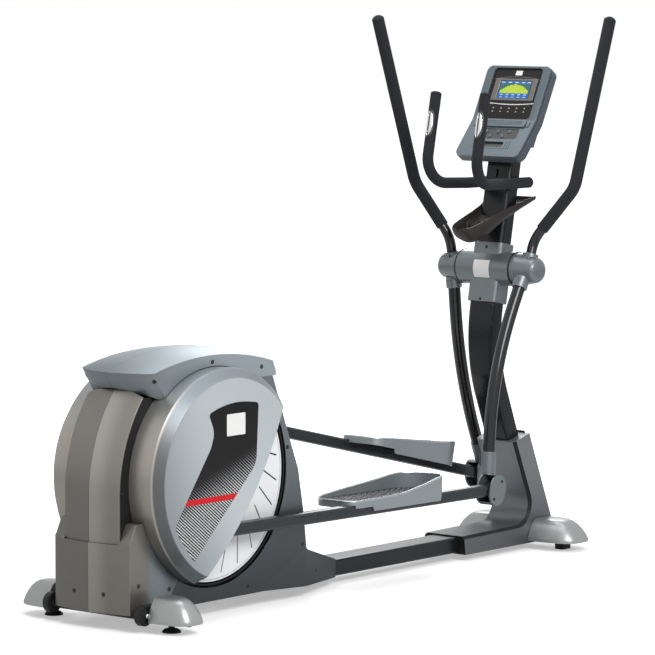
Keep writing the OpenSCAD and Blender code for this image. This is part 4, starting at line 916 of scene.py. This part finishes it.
class TRAINER_OT_console(TrainerStep, bpy.types.Operator):
    """Printed face, window, lit picture, trims and ledge ridges of the console"""

    bl_idname = "trainer.console"
    bl_label = "Console"

    def build(self, scene):
        p, display = paints(), scene.trainer_display
        printed = paint("fascia_print", p.fascia, 0.32, 0.08, grain=1500, lift=0.0, specular_ior_level=0.2)
        pale = paint("fascia_lines", (0.32, 0.32, 0.31), 0.4, lift=0.0)
        frame_grey = paint("window_frame", (0.13, 0.12, 0.11), 0.35, 0.08, metallic=0.3)
        sunk = -0.007
        slab("console_fascia", box_outline(0.1935, 0.1785, 0.0138), 0.0004, high_face(0.0915, 0, sunk), printed)

        lines = Piece("console_trims")
        lines.add(prism(arc_strip(0.088, 0.1525, -0.008, 0.0009), 0, 0.0003), high_face(0, 0, sunk + 0.0004))
        arrow = [Vector((-0.0045, -0.0022)), Vector((0.0045, -0.0022)), Vector((0, 0.0032))]
        for row in (0.043, 0.031):
            for column in range(-2, 3):
                lines.add(prism(arrow, 0, 0.0003), high_face(row, column * 0.031, sunk + 0.0004))
        lines.make(pale, "bezel_grey")

        slab("console_chrome_strip", arc_strip(0.0945, 0.055, 0.005, 0.0042), 0.0022,
             high_face(0, 0, sunk + 0.0002), chrome(), "sensor_chrome", 0.0009)
        slab("console_plate", box_outline(0.026, 0.0165, 0.001), 0.0006, high_face(0.166, 0, sunk + 0.0002),
             bpy.data.materials["plate_white"])
        surround = Piece("console_window_frame")
        surround.add(frame_ring((0.168, 0.077, 0.006), (0.127, 0.061, 0.002), 0.0024), high_face(0.107, 0, sunk))
        surround.make(frame_grey, "bezel_grey")
        self.picture(display, high_face(0.107, 0, sunk + 0.0006))

        ridges = Piece("console_ledge_ridges")
        for down in (0.010, 0.015, 0.020, 0.025):
            ridges.add(prism(box_outline(0.170, 0.0018, 0.0009), 0, 0.0009, 0.0004), low_face(down, 0, 0.006))
        ridges.make(bpy.data.materials["console_frame"], "bezel_grey")
        slab("console_key_panel", box_outline(0.1655, 0.0405, 0.0078), 0.0003, low_face(0.0585, 0, -0.0015),
             paint("key_panel_print", (0.016, 0.017, 0.02), 0.5, grain=700, height=0.0002, lift=0.02))
        slab("console_slot_lining", box_outline(0.0895, 0.0205, 0.0058), 0.0004, low_face(0.101, 0, -0.007),
             black_plastic())

        cap = lathe([(0, 0.0006), (0.0030, 0.0005), (0.0052, 0.0002), (0.0056, 0)])
        up = Vector((sin(LOW_LEAN), 0, cos(LOW_LEAN)))
        for node in KEYS:
            low, high = (Vector(corner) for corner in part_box(node))
            middle = (low + high) / 2
            place = low_face((FOLD - middle).dot(up), middle.y, 0.0015)
            Piece(f"{node}_cap").add(cap, place).make(
                paint("key_cap", (0.035, 0.038, 0.043), 0.35, 0.05), "key_plastic", node)

    def picture(self, display, place):
        """Course profile in bars between a title bar and a row of readings."""
        materials = [lit(name, colour, display.glow) for name, colour in LED_COLOURS]
        picture = Piece("console_picture")
        w, h = display.width, display.height
        field_low, field_high = -0.21 * h, 0.36 * h
        picture.add(prism(box_outline(w, h, 0.001), 0, 0.0002), place, 0)
        middle = Vector((0, (field_low + field_high) / 2))
        field = [p + middle for p in box_outline(w * 0.97, field_high - field_low)]
        picture.add(prism(field, 0.0002, 0.0003), place, 1)
        pitch = w * 0.92 / display.bars
        for index in range(display.bars):
            x = (index + 0.5) * pitch - w * 0.46
            share = sin(pi * (index + 0.7) / (display.bars + 0.4)) ** 0.8
            share = round((0.25 + 0.7 * share) * 9) / 9
            top = field_low + share * (field_high - field_low) * 0.95
            bar = [Vector((x - pitch * 0.41, field_low)), Vector((x + pitch * 0.41, field_low)),
                   Vector((x + pitch * 0.41, top)), Vector((x - pitch * 0.41, top))]
            picture.add(prism(bar, 0.0003, 0.0004), place, 2)

        def mark(x, y, wide, tall):
            outline = [q + Vector((x * w, y * h)) for q in box_outline(w * wide, h * tall)]
            picture.add(prism(outline, 0.0002, 0.0003), place, 3)

        for group in range(5):
            for digit in range(3):
                for y, tall in ((-0.29, 0.07), (-0.43, 0.05)):
                    mark((group - 2) * 0.19 + (digit - 1) * 0.032, y, 0.018, tall)
        for x in (-0.42, -0.2, 0.02, 0.24, 0.42):
            mark(x, 0.43, 0.11, 0.05)
        picture.make(materials, "screen")


def frame_ring(outer, inner, high):
    """Rectangular frame with a chamfered opening, between two rectangles of (width, height, radius)."""

    def grown(size, by):
        return box_outline(size[0] + 2 * by, size[1] + 2 * by, size[2] + by)

    rings = [
        (grown(outer, 0), 0.0), (grown(outer, 0), high - 0.0006), (grown(outer, -0.0006), high),
        (grown(inner, 0.0015), high), (grown(inner, 0), high - 0.0015), (grown(inner, 0), 0.0),
    ]
    points = [Vector((p.x, p.y, z)) for ring, z in rings for p in ring]
    return points, bands(len(rings[0][0]), len(rings), closed=True)


# ---- Hub, grips and tray


def patch(radius, turn, low, high, steps=16, thick=0.0006):
    """Piece of a sleeve about Z, centred on +X, between two heights."""
    corners = [(radius, low), (radius + thick, low), (radius + thick, high), (radius, high)]
    return loft([[around(r, turn * (step / steps - 0.5), z) for r, z in corners] for step in range(steps + 1)])


class TRAINER_OT_hub(TrainerStep, bpy.types.Operator):
    """Bare plate on the hub and seals beside the knuckles"""

    bl_idname = "trainer.hub"
    bl_label = "Hub and forks"

    def build(self, scene):
        plate = bpy.data.materials["plate_white"]
        barrel = 0.055
        badge = Piece("hub_plate")
        rearward = axes_at(HUB, -AHEAD, -UP, -LEFTWARD)
        badge.add(patch(barrel + 0.0002, 0.058 / barrel, -0.031, 0.031), rearward)
        badge.make(plate, "cast_grey")
        trim = black_plastic()
        for side, sign in SIDES.items():
            out = axes_at(HUB, AHEAD, UP * -sign, LEFTWARD * sign)
            seal = Piece(f"hub_seal_{side}")
            seal.add(lathe([(0.049, 0.1042), (0.0562, 0.1042), (0.0562, 0.1076), (0.049, 0.1076)], 96), out)
            seal.make(trim, "wheel_black")


def lens(radius, half, low, high, rise, point=0.8, steps=28, columns=10):
    """Pad round a grip, from low[0] + low[1] to high[0] + high[1] across at its middle and closing at its ends."""
    rings = []
    for step in range(steps + 1):
        share = sin(pi * (step / steps - 0.5))
        bow = (1 - share * share) ** point + 0.02
        near, far = low[0] + low[1] * bow, high[0] + high[1] * bow
        over, under = [], []
        for column in range(columns + 1):
            part = column / columns
            a = (near + (far - near) * part) / radius
            out = radius + 0.0002 + rise * (1 - (2 * part - 1) ** 6)
            over.append(around(out, a, half * share))
            under.append(around(radius - 0.001, a, half * share))
        rings.append(over + under[::-1])
    return loft(rings)


# Radius of the upright grips, their distance from the middle, and the profile of their ends.
GRIP, GRIP_Y = 0.0175, 0.098
GRIP_END = [(GRIP, -0.001), (GRIP, 0), (0.0171, 0.0028), (0.0155, 0.0056), (0.0122, 0.0078), (0.0075, 0.0091),
            (0, 0.0096)]


class TRAINER_OT_sensors(TrainerStep, bpy.types.Operator):
    """Rounded end of each upright grip, and its pulse sensor: two chrome strips in a black pad"""

    bl_idname = "trainer.sensors"
    bl_label = "Pulse sensors"

    def build(self, scene):
        low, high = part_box("pulse_sensors")
        lean = atan2(0.058, 0.276)
        upright = Vector((sin(lean), 0, cos(lean)))
        rearward = Vector((-cos(lean), 0, sin(lean)))
        middle = Vector((low.x + 0.0265, 0, (low.z + high.z) / 2 - 0.0015))
        plates = Piece("sensor_plates")
        pads, ends = Piece("sensor_pads"), Piece("grip_ends")
        for sign in SIDES.values():
            place = axes_at(middle + LEFTWARD * sign * GRIP_Y, rearward, upright.cross(rearward), upright)
            pads.add(lens(GRIP, 0.0465, (0, -0.0185), (0, 0.0185), 0.0008, 0.5), place)
            ends.add(lathe(GRIP_END), place @ Matrix.Translation((0, 0, 0.0958)))
            for way in (1, -1):
                plates.add(lens(GRIP, 0.039, (way * 0.0018, 0), (way * 0.0018, way * 0.0118), 0.0016), place)
        pads.make(black_plastic(), "sensor_chrome")
        ends.make(bpy.data.materials["foam_sleeve"], "foam")
        plates.make(chrome(), "sensor_chrome")
        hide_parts("pulse_sensors")


# Half width, depth and floor of the tray at distances from its rear tip, along its leaning rim.
TRAY_STATIONS = [
    (0.000, 0.008, 0.005, 0.001), (0.002, 0.018, 0.013, 0.008), (0.008, 0.030, 0.026, 0.021),
    (0.020, 0.040, 0.044, 0.039), (0.040, 0.048, 0.060, 0.056), (0.070, 0.052, 0.067, 0.063),
    (0.100, 0.054, 0.066, 0.056), (0.106, 0.054, 0.065, 0.031), (0.150, 0.056, 0.054, 0.027),
    (0.200, 0.062, 0.045, 0.022), (0.250, 0.076, 0.034, 0.016), (0.288, 0.089, 0.025, 0.012),
    (0.296, 0.091, 0.023, 0.010), (0.300, 0.092, 0.022, 0.001),
]


class TRAINER_OT_tray(TrainerStep, bpy.types.Operator):
    """Boat shaped accessory tray round the mast, and its screw"""

    bl_idname = "trainer.tray"
    bl_label = "Tray"

    def build(self, scene):
        lean, lip, steps = radians(18.4), 0.005, 28
        along, up = Vector((cos(lean), 0, sin(lean))), Vector((-sin(lean), 0, cos(lean)))
        place = axes_at((0.629, 0, 1.041), along, LEFTWARD, up)
        rings = []
        for reach, half, deep, floor in TRAY_STATIONS:
            edge = min(lip, half * 0.4)
            outer, inner = [], []
            for step in range(steps + 1):
                turn = pi * step / steps
                across, down = cos(turn), max(0.0, sin(turn))
                outer.append(Vector((reach, half * across, -deep * down ** 0.6)))
                inner.append(Vector((reach, (half - edge) * across, -floor * down ** 0.35)))
            crown = [Vector((reach, side * (half - share * edge), 0.0012)) for side, share in
                     ((-1, 0.25), (-1, 0.75), (1, 0.75), (1, 0.25))]
            rings.append(outer + crown[:2] + inner[::-1] + crown[2:])
        tray = Piece("tray_bowl").add(loft(rings), place)
        tray.make(bpy.data.materials["tray_moulding"], "tray_black", smooth=50)
        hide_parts("accessory_tray")
        seat = place @ Matrix.Translation((0.128, 0.018, -0.0278))
        screw = Piece("tray_screw").add(screw_head(0.0048, 0.0018), seat)
        screw.make(screw_black(), "wheel_black")


# ---- Moulded covers of the foot of the mast and of the stabilisers


def outward(origin, sign):
    """Matrix at a point beside the middle plane: X forwards, Y outwards and Z up."""
    return axes_at(origin, AHEAD, LEFTWARD * sign, UP)


def dome(half, depth, high, steps=40):
    """Cap with a flat inner end, falling away on its other sides."""
    rings = []
    for share, level in ((0, 0), (0, 0.1), (0.02, 0.16), (0.10, 0.33), (0.24, 0.55), (0.42, 0.75),
                         (0.62, 0.9), (0.82, 0.98), (1, 1)):
        ring = []
        for step in range(steps + 1):
            turn = pi * (step / steps - 0.5)
            x = half * (1 - 0.62 * share) * copysign(abs(sin(turn)) ** 0.667, turn)
            ring.append(Vector((x, depth * (1 - 0.5 * share) * abs(cos(turn)) ** 0.667, high * level)))
        rings.append(ring)
    return loft(rings)


class TRAINER_OT_mouldings(TrainerStep, bpy.types.Operator):
    """Shroud at the foot of the mast, stabiliser caps and wheel bolts"""

    bl_idname = "trainer.mouldings"
    bl_label = "Mouldings"

    def build(self, scene):
        self.mast_shroud(0.080, 0.009)
        self.caps("rear", -0.968, 0.197, 0.062, 0.128, 0.030, 0.071)
        self.caps("front", 0.975, 0.081, 0.080, 0.159, 0.028, 0.069)
        for side, sign in SIDES.items():
            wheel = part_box(f"transport_wheel_{side}")
            centre = (wheel[0] + wheel[1]) / 2
            bolt = Piece(f"wheel_bolt_{side}")
            end = Vector((centre.x, sign * 0.1948, centre.z))
            bolt.add(lathe([(0, 0.0030), (0.0030, 0.0028), (0.0052, 0.0018), (0.0062, 0)], 24),
                     axes_at(end, AHEAD * sign, UP, LEFTWARD * sign))
            bolt.make(chrome(), "steel_bright")

    def mast_shroud(self, half, groove):
        """Concave cover from the beam up to the mast, with a groove down each of its edges; the grooves and the
        rear end face are painted dark, a painted shade.
        """
        ramp = fillet((0.565, 0.079), (0.942, 0.084), (0.826, 0.352), 0.066)
        rest = [Vector(p) for p in ((0.903, 0.376), (1.024, 0.088), (1.012, 0.020), (0.572, 0.020))]
        deep = []
        for index, point in enumerate(ramp):
            way = (ramp[min(index + 1, len(ramp) - 1)] - ramp[max(index - 1, 0)]).normalized()
            deep.append(point + Vector((way.y, -way.x)) * groove)
        rings = [[Vector((p.x, y, p.y)) for p in path + rest] for y, path in
                 ((-half, deep), (0.010 - half, ramp), (half - 0.010, ramp), (half, deep))]
        shroud = Piece("mast_shroud_cover").add(loft(rings))
        count = len(rings[0])
        # Painted shade: the rear end face and the groove faces take the dark well moulding.
        for level in range(3):
            shroud.finishes[level * count + count - 1] = 1
        for level in (0, 2):
            for index in range(len(ramp) - 1):
                shroud.finishes[level * count + index] = 1
        materials = [bpy.data.materials[name] for name in ("mast_shroud_paint", "well_moulding")]
        shroud.make(materials, "mast_slate", smooth=30)
        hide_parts("mast_shroud")

    def caps(self, end, x, inner, half, depth, low, high):
        caps = Piece(f"{end}_cap_domes")
        for sign in SIDES.values():
            caps.add(dome(half, depth, high), outward((x, sign * inner, low), sign))
        caps.make(bpy.data.materials["cap_paint"], "cap_silver", smooth=60)
        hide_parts(f"{end}_caps")


# ---- Pedals

# Middle of the mat's top, with the arm's pivot as the origin; length and width of its tread; radius of the rim.
PEDAL_MIDDLE = Vector((-0.480, 0.1223, 0.026))
TREAD_LENGTH, TREAD_WIDTH = 0.400, 0.118
RIM_RADIUS = 0.0036


class TRAINER_OT_pedals(TrainerStep, bpy.types.Operator):
    """Studded tread of the pedal mats and the pale lip round each pedal"""

    bl_idname = "trainer.pedals"
    bl_label = "Pedals"

    def build(self, scene):
        tread = scene.trainer_tread
        silver = paint("pedal_rim", (0.36, 0.39, 0.41), 0.26, height=0.00001, metallic=0.75)
        stud = paint("tread_rubber", (0.075, 0.078, 0.082), 0.42, height=0.00004, lift=0.25)
        for side, sign in SIDES.items():
            pivot = JOINTS[f"{side}_arm_pivot"]
            pin = CRANK + sign * CRANK_THROW * Vector((cos(CRANK_LEAN), 0, sin(CRANK_LEAN)))
            tilt = atan2(pin.z - pivot.z, pivot.x - pin.x)
            place = Matrix.Translation((pivot.x, 0, pivot.z)) @ Matrix.Rotation(tilt, 4, "Y")
            piece = Piece(f"pedal_tread_{side}")
            rows = int(TREAD_LENGTH / tread.pitch)
            for row in range(rows):
                x = PEDAL_MIDDLE.x - TREAD_LENGTH / 2 + (row + 0.5) * TREAD_LENGTH / rows
                columns = 7 if row % 2 else 6
                for column in range(columns):
                    y = PEDAL_MIDDLE.y + (column - (columns - 1) / 2) * TREAD_WIDTH / 7
                    turn = radians(90 * ((row + column) % 2) + 45 + 25 * sin(row * 1.7 + column * 2.3))
                    bar = prism(box_outline(tread.pitch * 0.9, tread.pitch * 0.26, 0.0012), 0, tread.rise, 0.0005)
                    spot = Matrix.Translation((x, y, PEDAL_MIDDLE.z)) @ Matrix.Rotation(turn, 4, "Z")
                    piece.add(bar, place @ Matrix.Scale(sign, 4, LEFTWARD) @ spot)
            piece.make(stud, "mat_black", f"arm_{side}")
            self.rim(side, place @ Matrix.Scale(sign, 4, LEFTWARD)).make(silver, "pedal_silver", f"arm_{side}")

    def rim(self, side, place):
        """Bead along the top of the pedal's wall, found by looking down on its middle."""
        heel, toe, inner, outer = -0.7070, -0.2530, 0.0463, 0.1983
        corners = rounded(
            [(heel, inner, 0.041), (toe, inner, 0.097), (toe, outer, 0.043), (heel, outer, 0.041)], 12)
        down = place.to_3x3() @ -UP
        path = []
        for start, end in zip(corners, corners[1:] + corners[:1]):
            parts = max(1, round((end - start).length / 0.012))
            for part in range(parts):
                spot = start.lerp(end, part / parts)
                path.append(touch([f"pedal_{side}"], place @ Vector((spot.x, spot.y, 0.2)), down)[0])
        return Piece(f"pedal_rim_{side}").add(bead(path, RIM_RADIUS))


# ---- Stage


CAMERA_TARGET = Vector((-0.0365, -0.022, 0.781))
# Name, size, place and aim of each lamp.
LAMPS = [
    ("key", 2.6, (-1.6, -3.8, 3.4), (-0.2, 0, 0.6)),
    ("top", 3.2, (0.2, 0.6, 4.4), (0, 0, 0.6)),
    ("rim", 2.2, (3.6, 2.4, 2.6), (0.2, 0, 0.7)),
]


class TRAINER_OT_stage(TrainerStep, bpy.types.Operator):
    """Camera, soft lamps, pale floor and white surroundings"""

    bl_idname = "trainer.stage"
    bl_label = "Stage"

    def build(self, scene):
        settings = scene.trainer_stage
        self.camera(scene, settings)
        self.floor(settings)
        self.world(scene, settings)
        for name, size, place, aim in LAMPS:
            lamp = bpy.data.lights.new(f"{name}_lamp", "AREA")
            lamp.energy, lamp.size, lamp.shape = getattr(settings, name), size, "DISK"
            item = bpy.data.objects.new(f"{name}_lamp", lamp)
            item.location = place
            item.rotation_euler = (Vector(aim) - Vector(place)).to_track_quat("-Z", "Y").to_euler()
            scene.collection.objects.link(item)
        scene.view_settings.view_transform = "Standard"

    def camera(self, scene, settings):
        turn, lift = settings.azimuth, settings.elevation
        away = Vector((sin(turn) * cos(lift), -cos(turn) * cos(lift), sin(lift)))
        lens = bpy.data.cameras.new("camera")
        lens.lens, lens.sensor_width, lens.clip_end = settings.lens, 36, 100
        camera = bpy.data.objects.new("camera", lens)
        camera.location = CAMERA_TARGET + away * settings.distance
        camera.rotation_euler = (-away).to_track_quat("-Z", "Y").to_euler()
        scene.collection.objects.link(camera)
        scene.camera = camera

    def floor(self, settings):
        mesh = bpy.data.meshes.new("floor")
        half = settings.floor
        corners = [(-half, -half, 0), (half, -half, 0), (half, half, 0), (-half, half, 0)]
        mesh.from_pydata(corners, [], [(0, 1, 2, 3)])
        material = bpy.data.materials.new("floor_white")
        material.use_nodes = True
        tree = material.node_tree
        tree.nodes.clear()
        w = Wiring(tree)
        path = w.node("ShaderNodeLightPath")
        far = w.node("ShaderNodeVectorMath", operation="LENGTH")
        w.put(far.inputs[0], w.node("ShaderNodeTexCoord").outputs["Object"])
        open_floor = w.ramp(far.outputs["Value"], 1.2, 3.2, settings.lift, 1.0)
        matte = w.node("ShaderNodeBsdfDiffuse")
        matte.inputs["Color"].default_value = (0.8, 0.8, 0.8, 1)
        glow = w.node("ShaderNodeEmission")
        glow.inputs["Color"].default_value = (1, 1, 1, 1)
        mirrored = w.times(path.outputs["Is Glossy Ray"], settings.mirrored)
        w.put(glow.inputs["Strength"],
              w.plus(w.times(path.outputs["Is Camera Ray"], open_floor), mirrored))
        both = w.node("ShaderNodeAddShader")
        w.put(both.inputs[0], matte.outputs[0])
        w.put(both.inputs[1], glow.outputs[0])
        w.put(w.node("ShaderNodeOutputMaterial").inputs["Surface"], both.outputs[0])
        mesh.materials.append(material)
        floor = bpy.data.objects.new("floor", mesh)
        bpy.context.scene.collection.objects.link(floor)

    def world(self, scene, settings):
        world = bpy.data.worlds.new("white")
        world.use_nodes = True
        tree = world.node_tree
        tree.nodes.clear()
        w = Wiring(tree)
        path = w.node("ShaderNodeLightPath")
        seen = w.math("MAXIMUM", path.outputs["Is Camera Ray"], path.outputs["Is Glossy Ray"])
        seen = w.math("MAXIMUM", seen, path.outputs["Is Transmission Ray"])
        background = w.node("ShaderNodeBackground")
        background.inputs["Color"].default_value = (1, 1, 1, 1)
        w.put(background.inputs["Strength"], w.plus(w.times(seen, 1 - settings.sky), settings.sky))
        w.put(w.node("ShaderNodeOutputWorld").inputs["Surface"], background.outputs[0])
        scene.world = world


# ---- Sidebar and start


STEPS = (
    TRAINER_OT_finishes, TRAINER_OT_covers, TRAINER_OT_fasteners, TRAINER_OT_console, TRAINER_OT_hub,
    TRAINER_OT_sensors, TRAINER_OT_tray, TRAINER_OT_mouldings, TRAINER_OT_pedals, TRAINER_OT_stage,
)
SETTINGS = {
    "trainer_paints": TrainerPaints,
    "trainer_panel": TrainerPanel,
    "trainer_fasteners": TrainerFasteners,
    "trainer_display": TrainerDisplay,
    "trainer_tread": TrainerTread,
    "trainer_stage": TrainerStage,
}


class TRAINER_PT_sidebar(bpy.types.Panel):
    """Lists the steps and the settings of the trainer"""

    bl_idname = "TRAINER_PT_sidebar"
    bl_label = "Elliptical trainer"
    bl_space_type = "VIEW_3D"
    bl_region_type = "UI"
    bl_category = "Trainer"

    def draw(self, context):
        for step in STEPS:
            self.layout.operator(step.bl_idname, text=step.bl_label)
        for name, group in SETTINGS.items():
            box = self.layout.box()
            for key in group.__annotations__:
                box.prop(getattr(context.scene, name), key)


def register():
    for part in (*SETTINGS.values(), *STEPS, TRAINER_PT_sidebar):
        bpy.utils.register_class(part)
    for name, group in SETTINGS.items():
        setattr(bpy.types.Scene, name, bpy.props.PointerProperty(type=group))


def unregister():
    for name in SETTINGS:
        delattr(bpy.types.Scene, name)
    for part in (TRAINER_PT_sidebar, *reversed(STEPS), *SETTINGS.values()):
        bpy.utils.unregister_class(part)


def main():
    register()
    bpy.ops.trainer.finishes()
    bpy.ops.trainer.covers()
    bpy.ops.trainer.fasteners()
    bpy.ops.trainer.console()
    bpy.ops.trainer.hub()
    bpy.ops.trainer.sensors()
    bpy.ops.trainer.tray()
    bpy.ops.trainer.mouldings()
    bpy.ops.trainer.pedals()
    bpy.ops.trainer.stage()


if __name__ == "__main__":
    main()
